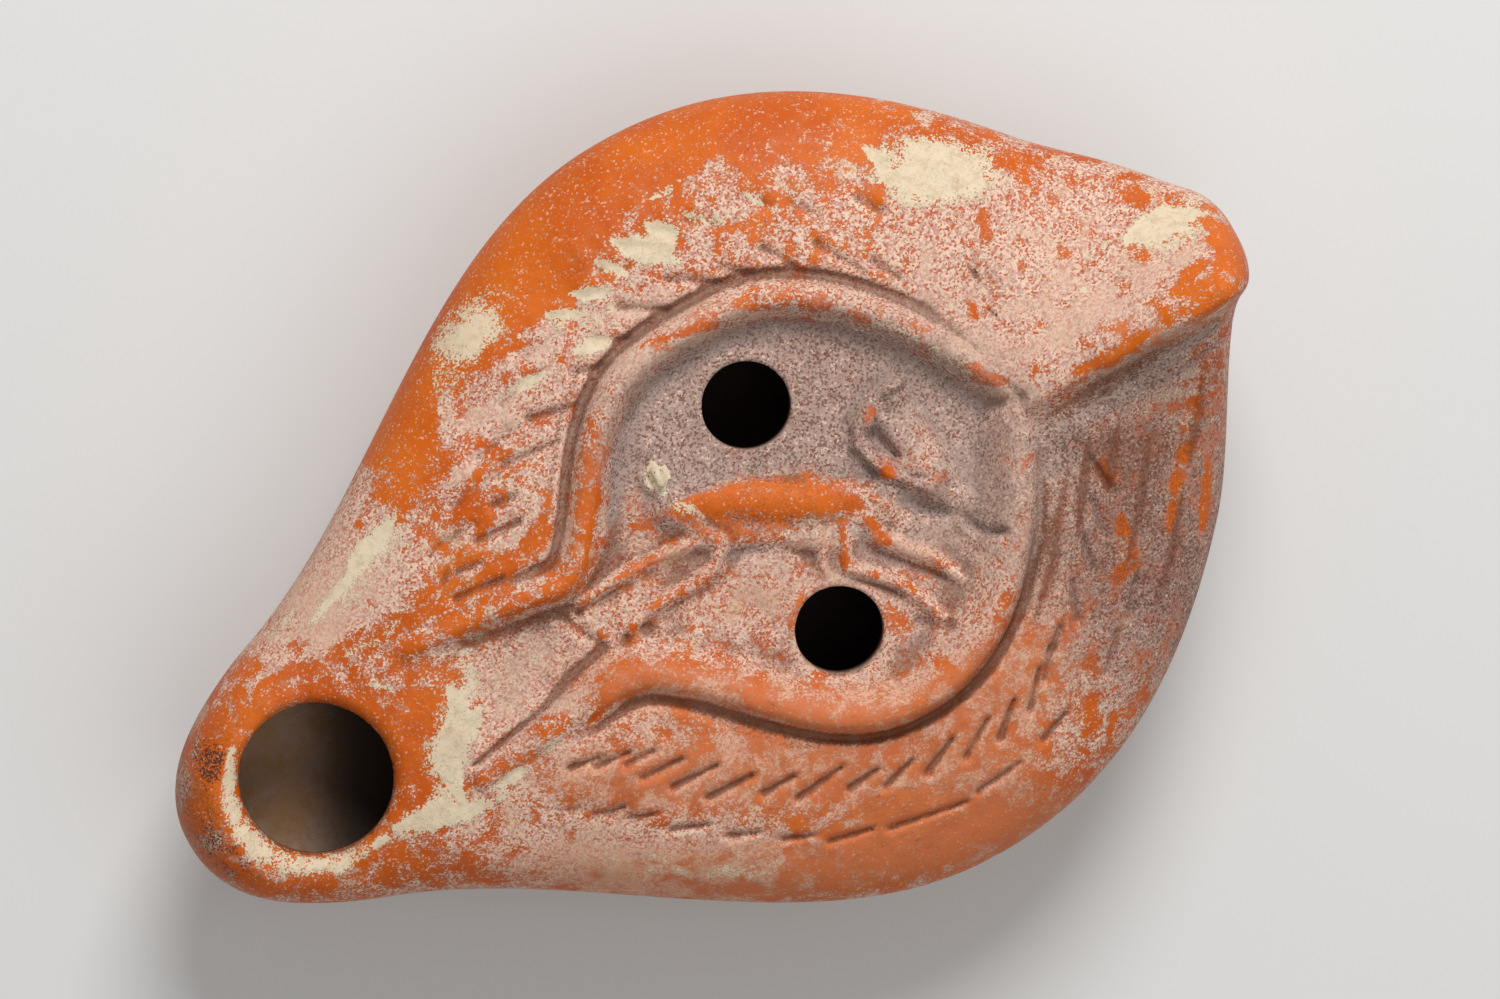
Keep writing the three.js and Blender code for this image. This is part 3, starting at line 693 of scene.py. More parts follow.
# Each streak: its joints, half width and amount.
STREAKS: dict[Mask, tuple[tuple[Line, float, float], ...]] = {
    Mask.CREAM: (
        ([(0.3, -30.6), (-2.9, -29.0)], 0.75, 0.5),
        ([(3.5, -29.9), (0.2, -28.3)], 0.65, 0.5),
        ([(-3.6, -32.3), (-5.7, -29.5)], 0.7, 0.5),
        ([(-6.0, -33.2), (-8.7, -29.9), (-10.9, -28.2)], 1.1, 0.5),
        ([(-9.7, -33.1), (-11.1, -31.0), (-10.8, -29.6)], 1.0, 0.5),
        ([(-13.3, -32.5), (-15.1, -30.4), (-17.1, -29.5)], 0.8, 0.45),
        ([(-11.2, -34.8), (-13.2, -34.7), (-15.2, -35.0)], 0.55, 0.5),
        ([(-19.5, -31.7), (-20.3, -30.2), (-21.3, -28.4)], 0.6, 0.5),
        ([(-23.5, -29.8), (-24.1, -27.4)], 0.6, 0.45),
        ([(2.6, -25.4), (-1.2, -24.7)], 0.9, 0.42),
        ([(10.7, -25.1), (6.3, -24.9)], 0.8, 0.42),
        ([(-32.4, -29.5), (-33.2, -27.3), (-33.1, -24.5)], 0.7, 0.5),
        ([(-28.5, -24.8), (-30.2, -22.8)], 0.5, 0.45),
        ([(26.4, -19.5), (31.4, -17.8), (34.2, -15.9)], 0.8, 0.5),
        ([(33.9, -16.3), (37.6, -14.9), (40.6, -13.7)], 0.6, 0.42),
        ([(29.0, -11.8), (33.2, -9.5), (38.1, -10.0)], 0.7, 0.42),
        ([(39.1, -16.3), (43.4, -14.7)], 0.5, 0.4),
        ([(25.9, -11.2), (25.6, -8.7)], 0.6, 0.45),
        ([(37.1, -6.5), (35.0, -4.8)], 0.5, 0.5),
        ([(30.0, -1.9), (30.4, 1.3), (33.7, 4.7), (34.4, 8.4)], 1.2, 0.5),
        ([(28.1, 0.9), (30.3, 3.7)], 0.6, 0.42),
        ([(41.7, 7.7), (38.3, 8.7), (34.3, 9.8), (30.7, 10.5)], 1.0, 0.5),
        ([(27.9, 8.6), (31.1, 10.2)], 0.8, 0.45),
        ([(-1.5, -19.4), (-6.2, -21.3), (-11.4, -21.8)], 0.45, 0.36),
        ([(-15.9, -20.7), (-19.3, -18.6), (-22.3, -15.7)], 0.6, 0.4),
        ([(-23.8, -14.3), (-27.2, -11.2), (-29.7, -6.4), (-32.7, -1.5)], 0.7, 0.42),
        ([(11.2, -11.0), (8.1, -15.0)], 0.4, 0.36),
        ([(2.0, -7.5), (0.2, -6.1), (-0.5, -5.3)], 0.9, 0.5),
        ([(0.5, -10.7), (1.4, -10.1)], 0.9, 0.7),
        ([(-10.4, -2.6), (-15.4, -1.2)], 0.6, 0.36),
        ([(16.9, 21.8), (17.0, 24.1)], 0.6, 0.35),
        ([(-50.8, -8.3), (-54.7, -8.2), (-57.7, -7.3)], 1.1, 0.5),
        ([(-45.4, -8.8), (-49.5, -9.1)], 0.7, 0.38),
        ([(-52.6, 1.9), (-55.8, 1.4), (-57.1, 0.4)], 0.5, 0.4),
        ([(20.8, -0.8), (20.9, 0.7)], 1.5, 0.4),
        ([(21.9, 7.3), (26.7, 8.6), (31.5, 8.9)], 0.9, 0.42),
        # Pale crescent on the wick hole's worn lower rim: cream, and partly painted light where light falls
        # on the inner wall.
        ([(52.0, -7.2), (54.7, -3.4), (55.2, 0.5), (54.0, 4.2),
          (51.4, 7.1), (47.8, 8.6), (43.1, 8.2)], 1.5, 0.6),
        ([(-44.3, -6.2), (-45.0, -6.3)], 0.5, 0.55),
        ([(-36.2, -15.6), (-37.7, -13.6)], 1.0, 0.35),
        ([(-55.8, -16.9), (-59.9, -13.5)], 1.2, 0.35),
        ([(1.4, -11.7), (1.7, -10.4), (1.8, -8.9)], 1.3, 0.9),
    ),
    Mask.BLOOM: (
        ([(-0.8, -5.9), (-6.7, -4.1), (-11.5, -0.4), (-14.8, 2.0)], 1.5, -0.6),
        ([(-2.7, -3.1), (-1.9, -0.7)], 0.7, -0.5),
        ([(-12.5, 2.4), (-10.3, 7.0)], 0.6, -0.6),
        ([(-14.8, 3.7), (-15.5, 7.0)], 0.8, -0.6),
        ([(-3.4, -22.9), (-9.6, -21.7), (-15.0, -19.0), (-19.6, -16.7)], 0.45, -0.5),
        ([(11.9, -6.7), (8.3, -11.7), (3.7, -15.9), (-1.0, -18.5)], 0.45, -0.45),
        ([(-30.3, -5.4), (-31.9, -3.1), (-33.5, -1.9)], 0.6, -0.7),
        ([(16.9, 5.5), (12.4, 5.5), (7.3, 8.8), (4.7, 12.4)], 1.2, -0.2),
        ([(4.2, 15.6), (-0.9, 20.8), (-7.3, 23.9), (-14.5, 23.3)], 1.0, -0.1),
        ([(19.3, 7.6), (16.3, 6.4), (13.5, 7.4)], 0.7, -0.5),
        ([(21.7, -10.6), (17.5, -9.9), (12.4, -11.7)], 0.9, -0.5),
        ([(34.2, -3.7), (32.5, -1.6), (33.1, 1.5), (35.5, 4.2)], 1.2, -0.7),
        ([(-39.8, 0.2), (-43.7, 0.4), (-48.0, -0.1)], 0.8, -0.6),
        ([(-57.6, -5.1), (-59.7, -2.2), (-58.4, 1.1)], 0.9, -0.3),
        ([(-37.1, -12.6), (-37.0, -9.2)], 0.7, -0.5),
        ([(11.3, -0.6), (14.5, 1.1), (19.6, 4.0)], 0.6, -0.4),
        ([(21.5, 25.0), (16.6, 29.6), (9.5, 33.4)], 1.0, -0.3),
        ([(20.6, -2.4), (19.4, 1.7)], 2.5, 0.4),
        ([(13.5, 7.4), (8.2, 10.4), (4.0, 15.1)], 1.5, 0.25),
        ([(21.9, -12.4), (16.8, -11.2), (12.5, -12.8)], 0.8, -0.35),
        ([(46.5, -11.3), (38.9, -10.5), (31.1, -10.1), (23.3, -9.7)], 0.9, -0.5),
        ([(57.5, 2.2), (53.3, 6.9), (46.8, 9.7)], 1.2, 0.3),
        ([(-19.4, -4.7), (-20.4, -5.6)], 0.9, -0.6),
        ([(-23.5, -2.4), (-23.0, -0.9)], 0.7, -0.5),
        ([(-23.1, 3.5), (-23.4, 4.1)], 0.7, -0.5),
        ([(-33.7, -23.0), (-35.8, -22.7)], 0.9, -0.4),
        ([(-47.5, -4.4), (-48.9, -4.8)], 0.8, -0.6),
        ([(-41.6, -13.5), (-42.0, -12.6)], 0.7, -0.6),
        ([(-39.0, -16.1), (-38.6, -14.6)], 0.8, -0.5),
        # Pale band along the foot of the handle's steep wall: partly painted light that lifts the wall's
        # shade.
        ([(-35.0, 4.9), (-40.8, 5.1), (-46.6, 4.5), (-54.5, 3.2)], 0.8, 0.9),
        ([(-51.2, 7.5), (-47.4, 11.6), (-44.4, 15.2), (-40.9, 19.6)], 1.0, -0.3),
        ([(-38.0, 9.8), (-37.6, 11.4), (-37.3, 12.9)], 1.1, -0.3),
        ([(-37.3, 15.8), (-35.8, 20.2), (-32.3, 22.8)], 1.2, -0.3),
        ([(-47.9, 15.4), (-45.8, 18.9), (-43.0, 23.1)], 0.7, -0.3),
        ([(-39.8, -17.7), (-39.1, -15.3)], 0.8, -0.75),
        ([(-44.9, -11.1), (-45.7, -9.7)], 1.3, -0.4),
        ([(-34.1, -11.0), (-34.0, -8.8)], 0.55, -0.7),
        ([(-30.1, -6.1), (-31.3, -4.1), (-33.6, -2.1)], 0.8, -0.65),
        ([(-42.2, -6.2), (-45.2, -5.5)], 1.2, -0.35),
        ([(-52.9, -11.5), (-55.0, -10.8)], 1.0, -0.5),
        ([(-35.8, -7.0), (-38.1, -5.1), (-41.2, -4.3)], 1.4, -0.3),
        # Pale band on the handle's lit broad flank near its crest: bloom, and partly a painted highlight.
        ([(-36.2, -3.6), (-44.4, -3.9), (-51.5, -4.5), (-57.1, -4.2)], 1.5, 0.35),
        ([(-20.4, -6.5), (-19.5, -5.2)], 0.7, -0.6),
        ([(-18.5, 0.0), (-19.0, 1.0)], 0.7, -0.8),
        ([(12.2, 5.2), (8.0, 8.0), (5.6, 11.9)], 1.2, 0.3),
        ([(4.2, -17.4), (7.0, -14.4), (9.9, -11.4)], 1.0, -0.3),
        ([(6.7, -29.3), (4.2, -28.6), (2.6, -27.5)], 0.9, 0.6),
        ([(10.5, -27.6), (7.7, -27.4), (5.1, -27.1)], 0.9, 0.6),
        ([(16.5, -24.1), (13.0, -24.1), (10.3, -24.5)], 1.2, 0.6),
        ([(16.5, -27.7), (17.3, -25.4), (18.5, -23.1)], 0.7, 0.6),
        ([(20.6, -19.7), (17.9, -20.5), (15.2, -21.3)], 0.7, 0.5),
        ([(-3.2, -26.6), (-6.0, -25.4), (-8.1, -24.0)], 0.7, 0.5),
        ([(21.0, -11.9), (17.7, -11.7), (16.1, -12.5)], 0.9, 0.5),
        ([(15.1, -9.1), (13.1, -9.7), (11.0, -11.4)], 0.7, 0.5),
        ([(15.4, -21.9), (14.1, -20.1), (17.1, -18.9), (21.2, -16.6)], 1.1, -0.45),
        ([(10.9, -21.7), (8.0, -20.9), (5.3, -20.5)], 0.8, -0.4),
        ([(19.9, -15.9), (16.3, -16.2), (19.8, -14.1)], 1.0, -0.4),
        ([(4.8, -32.6), (7.5, -31.9), (9.6, -30.2)], 1.0, -0.5),
        ([(35.4, -1.5), (35.6, 1.9), (37.1, 5.7)], 1.6, -0.25),
        ([(40.7, -11.4), (34.7, -13.9), (28.8, -16.3)], 2.2, 0.2),
    ),
    Mask.GREY: (
        ([(7.6, -8.9), (3.3, -14.6), (-1.6, -17.6), (-7.0, -19.1), (-14.3, -17.8),
          (-21.2, -13.7), (-25.4, -9.0), (-28.2, -3.7), (-30.1, 0.2)], 1.3, 0.6),
        ([(-0.3, -13.1), (-3.6, -13.0)], 1.6, 0.5),
        ([(4.1, -6.4), (2.0, -4.9)], 0.8, 0.5),
        ([(0.1, -0.1), (-5.9, 1.5)], 0.6, 0.4),
        ([(-18.5, 3.5), (-22.3, 7.0)], 1.0, 0.5),
        ([(-23.0, 8.9), (-26.3, 11.3)], 0.8, 0.5),
        ([(-32.8, 4.6), (-40.9, 4.5), (-49.2, 4.0), (-54.6, 3.6)], 1.2, 0.6),
        ([(-33.1, 8.2), (-37.7, 6.2)], 2.0, 0.5),
        ([(-34.6, 5.6), (-41.5, 5.5), (-49.4, 5.8), (-54.5, 5.3)], 0.6, 0.5),
        ([(1.1, -6.6), (-6.6, -3.8), (-14.3, 0.9), (-18.0, 5.5)], 2.2, -0.9),
        ([(0.9, -2.8), (6.2, -3.5), (12.0, -3.3)], 1.0, -0.5),
        ([(-0.4, -1.0), (3.3, 1.6), (9.5, 0.4)], 1.0, -0.5),
        ([(-12.3, 3.4), (-10.6, 7.1)], 0.8, -0.9),
        ([(-14.9, 3.8), (-16.5, 8.2), (-20.1, 13.1)], 1.0, -0.8),
        ([(-10.8, 7.2), (-14.4, 11.0), (-16.4, 15.6)], 1.0, -0.6),
        ([(-19.6, -5.1), (-22.3, -6.5), (-23.6, -5.8)], 0.8, -0.4),
        ([(-17.6, -2.8), (-18.3, -0.1), (-19.2, 0.6)], 0.7, -0.4),
        ([(-22.6, 2.3), (-22.4, -2.4), (-22.3, -4.8)], 3.4, -0.5),
        ([(-5.2, 0.6), (-10.2, 4.0)], 1.2, -0.4),
        ([(-51.2, 7.5), (-47.4, 11.6), (-44.4, 15.2), (-40.9, 19.6)], 1.0, -0.7),
        ([(-38.0, 9.8), (-37.6, 11.4), (-37.3, 12.9)], 1.1, -0.7),
        ([(-37.3, 15.8), (-35.8, 20.2), (-32.3, 22.8)], 1.2, -0.7),
        ([(-47.9, 15.4), (-45.8, 18.9), (-43.0, 23.1)], 0.7, -0.7),
        ([(-20.4, -6.5), (-19.5, -5.2)], 0.9, -0.6),
        ([(-18.5, 0.0), (-19.0, 1.0)], 0.9, -0.7),
    ),
    # Painted shade for the most part: on the handle's steep wall, in the grooves round the field, on the
    # channel's left wall, over the trunk and on the rear shoulder that the handle shades; the small dark
    # pits and the red-brown streaks on the rear shoulder are stains.
    Mask.BROWN: (
        ([(-34.8, 3.2), (-41.6, 3.2), (-49.0, 3.3), (-55.6, 3.3)], 1.2, 0.4),
        ([(0.4, -26.2), (7.2, -20.2), (13.4, -12.2)], 0.4, 0.5),
        ([(-32.2, 8.9), (-29.3, 14.2), (-21.9, 20.4), (-13.2, 23.7),
          (-5.1, 23.8), (2.2, 20.2), (7.3, 15.0), (10.7, 10.7)], 0.7, 0.5),
        ([(0.8, -5.1), (-5.1, -1.2), (-13.2, 2.8)], 1.0, 0.25),
        ([(50.5, -7.7), (53.6, -4.6), (54.8, -0.3), (53.6, 4.0), (50.5, 7.2), (45.5, 8.3)], 1.9, -0.5),
        ([(-41.3, 7.6), (-39.7, 9.6), (-37.4, 13.0)], 0.5, 0.6),
        ([(-37.9, 7.5), (-35.6, 10.8), (-32.7, 14.9)], 0.55, 0.6),
        ([(-51.6, 7.1), (-49.4, 10.5), (-45.6, 15.3)], 0.7, 0.5),
        ([(-43.4, 10.5), (-39.8, 15.5), (-35.8, 20.2)], 0.5, 0.45),
        ([(-43.5, 17.6), (-39.8, 22.4), (-36.0, 26.1)], 0.6, 0.4),
        ([(-35.8, -13.7), (-36.2, -11.9)], 0.35, 0.9),
        ([(-35.4, -9.5), (-35.8, -8.0)], 0.3, 0.9),
        ([(-36.1, -14.9), (-37.4, -10.1)], 1.6, 0.25),
        ([(-36.6, 3.0), (-40.8, 2.6), (-46.1, 2.4), (-53.9, 1.7)], 0.8, 0.3),
        ([(-35.0, 4.9), (-40.8, 5.1), (-46.6, 4.5), (-54.5, 3.2)], 0.6, -0.5),
        ([(-37.2, 7.1), (-41.1, 10.4), (-46.9, 12.5)], 3.0, 0.25),
        ([(-34.0, 9.9), (-31.2, 13.0), (-28.3, 17.1), (-24.5, 20.8)], 0.8, 0.5),
        ([(13.6, -3.1), (18.5, -4.1), (23.7, -3.0)], 0.5, 0.3),
    ),
    Mask.SOOT: (
        ([(50.5, -7.7), (53.6, -4.6), (54.8, -0.3), (53.6, 4.0), (50.5, 7.2), (45.5, 8.3)], 1.9, -0.8),
        ([(-36.1, -13.1), (-36.4, -12.6)], 0.3, 1.1),
        ([(-35.7, -8.8), (-36.0, -8.1)], 0.3, 1.1),
    ),
    # Less painted hollow shade on the handle's steep wall and along the left groove.
    Mask.HOLLOW_SHADE: (
        ([(-33.6, 3.3), (-39.8, 3.4), (-47.6, 2.8), (-55.6, 1.8)], 3.2, -0.75),
        ([(0.2, -19.5), (6.7, -15.9), (11.1, -11.5), (14.0, -8.0)], 1.4, -0.35),
    ),
    Mask.ROSY: (
        ([(0.6, -18.8), (6.5, -15.3), (10.5, -11.2), (14.0, -8.0)], 1.6, 0.35),
    ),
}


# Each patch: its centre, reach, turn in degrees and amount.
PATCHES: dict[Mask, tuple[tuple[Pair, Pair, float, float], ...]] = {
    Mask.CREAM: (
        ((-37.4, -23.5), (6.2, 3.4), 152, 0.75),
        ((11.6, -31.7), (5.5, 2.6), -155, 0.6),
        ((30.4, -17.2), (7.0, 2.4), -158, 0.45),
        ((31.8, 1.7), (8.5, 2.2), -130, 0.55),
        ((38.1, 8.4), (4.8, 1.8), 171, 0.45),
        ((-55.0, -7.6), (4.8, 2.2), 171, 0.55),
        ((-10.3, -31.1), (3.4, 1.6), 166, 0.4),
        ((17.9, 25.7), (12.0, 2.0), 149, 0.35),
        ((-0.2, -27.5), (9.0, 4.0), -165, 0.3),
    ),
    Mask.BLOOM: (
        ((-2.4, -25.2), (19.0, 9.0), -165, 0.35),
        ((-11.6, -2.7), (22.0, 19.0), 152, 0.45),
        ((-38.3, -9.6), (15.0, 10.0), 161, 0.35),
        ((23.6, 2.9), (10.0, 7.0), -170, 0.4),
        ((36.5, -14.8), (12.0, 5.5), -160, 0.35),
        ((21.4, 21.6), (17.0, 4.0), 147, 0.3),
        ((-37.9, 14.4), (11.0, 20.0), 152, 0.2),
        ((-3.5, -39.4), (24.0, 7.0), -165, -0.6),
        ((-24.7, -36.6), (12.0, 4.0), 152, -0.55),
        ((46.5, -3.1), (11.0, 9.0), 152, -0.4),
        ((-6.0, -2.9), (9.0, 2.6), 159, -0.7),
        ((8.6, 9.0), (9.0, 2.6), 147, -0.2),
        ((-1.4, 34.6), (13.0, 3.5), 163, -0.5),
        ((22.0, -26.3), (4.0, 8.0), 151, -0.5),
        ((4.8, -32.6), (4.0, 9.0), 106, -0.4),
        ((-14.5, -32.6), (10.0, 2.0), 151, -0.15),
        ((21.5, 23.9), (15.0, 3.5), 149, 0.2),
        ((32.3, -18.2), (11.0, 4.0), -159, 0.35),
        ((-27.4, 6.2), (5.0, 11.0), 151, 0.3),
        ((34.4, 0.8), (2.6, 4.8), 151, -0.4),
        ((55.9, -3.8), (4.0, 6.0), 151, 0.25),
        ((-13.0, -27.8), (9.0, 3.0), 166, -0.2),
        ((21.1, -28.0), (3.0, 12.0), 171, -0.2),
    ),
    Mask.GREY: (
        ((-41.8, 21.2), (14.0, 16.0), 150, 0.8),
        ((-11.6, -2.7), (20.0, 17.0), 152, 0.35),
        ((-13.8, -10.7), (16.0, 7.5), 161, 0.75),
        ((-22.6, 2.3), (9.0, 9.0), 151, 0.45),
        ((-2.3, -12.6), (5.0, 7.0), 121, 0.6),
        ((-7.3, 13.4), (12.0, 4.0), 151, 0.2),
        ((22.1, 0.2), (6.0, 4.5), -179, 0.3),
    ),
    # Brown staining, and painted shade: on the nozzle ring's shaded side, over the trunk, on the field's
    # upper part under the ridge and on the rear shoulder that the handle shades.
    Mask.BROWN: (
        ((55.9, -3.8), (5.0, 7.5), 171, 0.5),
        ((52.5, 7.4), (7.0, 1.8), 151, 0.25),
        ((-7.6, -1.5), (9.0, 2.8), 156, 0.15),
        ((-35.8, 20.2), (9.0, 15.0), 151, 0.35),
        ((-15.6, -12.0), (12.0, 5.0), 156, 0.2),
        ((-14.2, 1.0), (15.0, 9.0), 151, 0.12),
        ((19.0, 0.8), (8.0, 6.0), 151, 0.2),
        ((23.6, 21.5), (15.0, 3.0), 151, 0.15),
        ((-38.7, 14.9), (9.0, 13.0), 151, 0.28),
    ),
    Mask.ROSY: (
        ((3.7, 22.9), (24.0, 4.2), 148, 0.75),
        ((-18.9, 25.8), (6.0, 12.0), 126, 0.6),
        ((0.8, 34.4), (28.0, 3.5), 159, 0.85),
        ((24.1, 22.4), (16.0, 3.0), 148, 0.5),
        ((8.2, 10.4), (14.0, 3.0), 143, 0.7),
        ((-8.5, 21.6), (12.0, 3.4), 165, 0.6),
        ((18.4, 16.3), (9.0, 3.0), 151, 0.35),
        ((40.6, -13.7), (6.0, 10.0), 116, 0.25),
        ((-3.2, 6.4), (9.0, 3.0), 151, 0.35),
    ),
    # Soot at the nozzle's tip, which also stands in for shade on its shaded side.
    Mask.SOOT: (
        ((54.4, -7.0), (1.8, 2.6), 171, 0.9),
        ((55.8, 0.9), (5.0, 6.0), 0, 0.6),
    ),
}


def marks(mask: Mask) -> list[Patch | Streak]:
    """All patches and then all streaks of one mask."""
    patches = [Patch(*sizes) for sizes in PATCHES.get(mask, ())]
    return patches + [Streak(*sizes) for sizes in STREAKS.get(mask, ())]


# Node building

class Socket:
    """A node's output that can stand in sums."""

    def __init__(self, bench: "Bench", output: Any) -> None:
        """Keep the output and the bench it belongs to."""
        self.bench = bench
        self.output = output

    def _math(self, operation: str, first: Any, second: Any) -> "Socket":
        """One Math node on two values."""
        return self.bench.node("ShaderNodeMath", {"operation": operation}, {0: first, 1: second})

    def __add__(self, other: Any) -> "Socket":
        """Sum."""
        return self._math("ADD", self, other)

    def __radd__(self, other: Any) -> "Socket":
        """Sum, the other way round."""
        return self._math("ADD", other, self)

    def __sub__(self, other: Any) -> "Socket":
        """Difference."""
        return self._math("SUBTRACT", self, other)

    def __rsub__(self, other: Any) -> "Socket":
        """Difference, the other way round."""
        return self._math("SUBTRACT", other, self)

    def __mul__(self, other: Any) -> "Socket":
        """Product."""
        return self._math("MULTIPLY", self, other)

    def __rmul__(self, other: Any) -> "Socket":
        """Product, the other way round."""
        return self._math("MULTIPLY", other, self)

    def highest(self, other: Any) -> "Socket":
        """The larger of two values."""
        return self._math("MAXIMUM", self, other)


class Bench:
    """Builds one material's nodes."""

    def __init__(self, name: str) -> None:
        """Start a node material with that name.

        Args:
            name: The material's name.
        """
        self.material = bpy.data.materials.new(name)
        self.material.use_nodes = True
        self.tree = self.material.node_tree
        self.tree.nodes.clear()

    def node(self, kind: str, settings: dict[str, Any], values: dict[Any, Any], out: Any = 0) -> Socket:
        """Add one node.

        Args:
            kind: The node's type.
            settings: Its own settings, set first.
            values: Values or links of its sockets, by number or identifier.
            out: Number or identifier of the output to return.

        Returns:
            The chosen output.
        """
        made = self.tree.nodes.new(kind)
        for key, value in settings.items():
            setattr(made, key, value)
        for key, value in values.items():
            target = self._find(made.inputs, key)
            if isinstance(value, Socket):
                self.tree.links.new(value.output, target)
            else:
                target.default_value = value
        return Socket(self, self._find(made.outputs, out))

    @staticmethod
    def _find(sockets: Any, key: Any) -> Any:
        """A socket by number, or by identifier or name."""
        if isinstance(key, int):
            return sockets[key]
        return next(s for s in sockets if s.identifier == key or s.name == key)

    def attribute(self, name: str) -> Socket:
        """A number kept on the mesh."""
        return self.node("ShaderNodeAttribute", {"attribute_name": name}, {}, "Fac")

    def place(self) -> Socket:
        """The surface's own coordinates, in metres."""
        return self.node("ShaderNodeTexCoord", {}, {}, "Object")

    def noise(self, size: float, detail: float = 2.0, rough: float = 0.5, warp: float = 0.0,
              shift: float = 0.0) -> Socket:
        """Cloudy pattern.

        Args:
            size: Size of its main clouds, in millimetres.
            detail: How many finer layers it has.
            rough: How strong the finer layers are.
            warp: How much it is stirred.
            shift: Moves it to another part of the pattern, in metres.

        Returns:
            A value round 0.5.
        """
        place = self.place()
        if shift:
            place = self.node("ShaderNodeVectorMath", {"operation": "ADD"},
                              {0: place, 1: (shift, shift * 0.7, shift * 0.4)})
        values = {"Vector": place, "Scale": 1.0 / (size * MM), "Detail": detail,
                  "Roughness": rough, "Distortion": warp}
        return self.node("ShaderNodeTexNoise", {}, values, "Fac")

    def cells(self, size: float, shift: float = 0.0) -> Socket:
        """Grains, each with its own random value.

        Args:
            size: Size of a grain, in millimetres.
            shift: Moves the pattern, in metres.

        Returns:
            A value from 0 to 1.
        """
        place = self.node("ShaderNodeVectorMath", {"operation": "ADD"},
                          {0: self.place(), 1: (shift, shift * 0.7, shift * 0.4)})
        values = {"Vector": place, "Scale": 1.0 / (size * MM)}
        grains = self.node("ShaderNodeTexVoronoi", {}, values, "Color")
        return self.node("ShaderNodeSeparateColor", {}, {0: grains}, 0)

    def between(self, value: Socket, low: float, high: float) -> Socket:
        """0 below low, 1 above high, and a smooth step between."""
        values = {"Value": value, "From Min": low, "From Max": high}
        return self.node("ShaderNodeMapRange", {"interpolation_type": "SMOOTHSTEP"}, values, "Result")

    def mix(self, share: Any, first: Any, second: Any) -> Socket:
        """Colour between two others."""
        values = {"Factor_Float": share, "A_Color": first, "B_Color": second}
        return self.node("ShaderNodeMix", {"data_type": "RGBA"}, values, "Result_Color")

    def finish(self, constants: dict[str, Any], links: dict[str, Socket]) -> bpy.types.Material:
        """Close the material with its shader.

        Args:
            constants: Values set on the shader's own sockets.
            links: What varies over the surface.

        Returns:
            The material.
        """
        shader = self.node("ShaderNodeBsdfPrincipled", {}, {**constants, **links}, "BSDF")
        output = self.tree.nodes.new("ShaderNodeOutputMaterial")
        self.tree.links.new(shader.output, output.inputs["Surface"])
        return self.material


def colour(red: float, green: float, blue: float) -> tuple[float, float, float, float]:
    """Linear colour of a screen colour whose parts run from 0 to 255."""
    def linear(part: float) -> float:
        """One part, made linear."""
        share = part / 255.0
        return share / 12.92 if share <= 0.04045 else ((share + 0.055) / 1.055) ** 2.4
    return (linear(red), linear(green), linear(blue), 1.0)


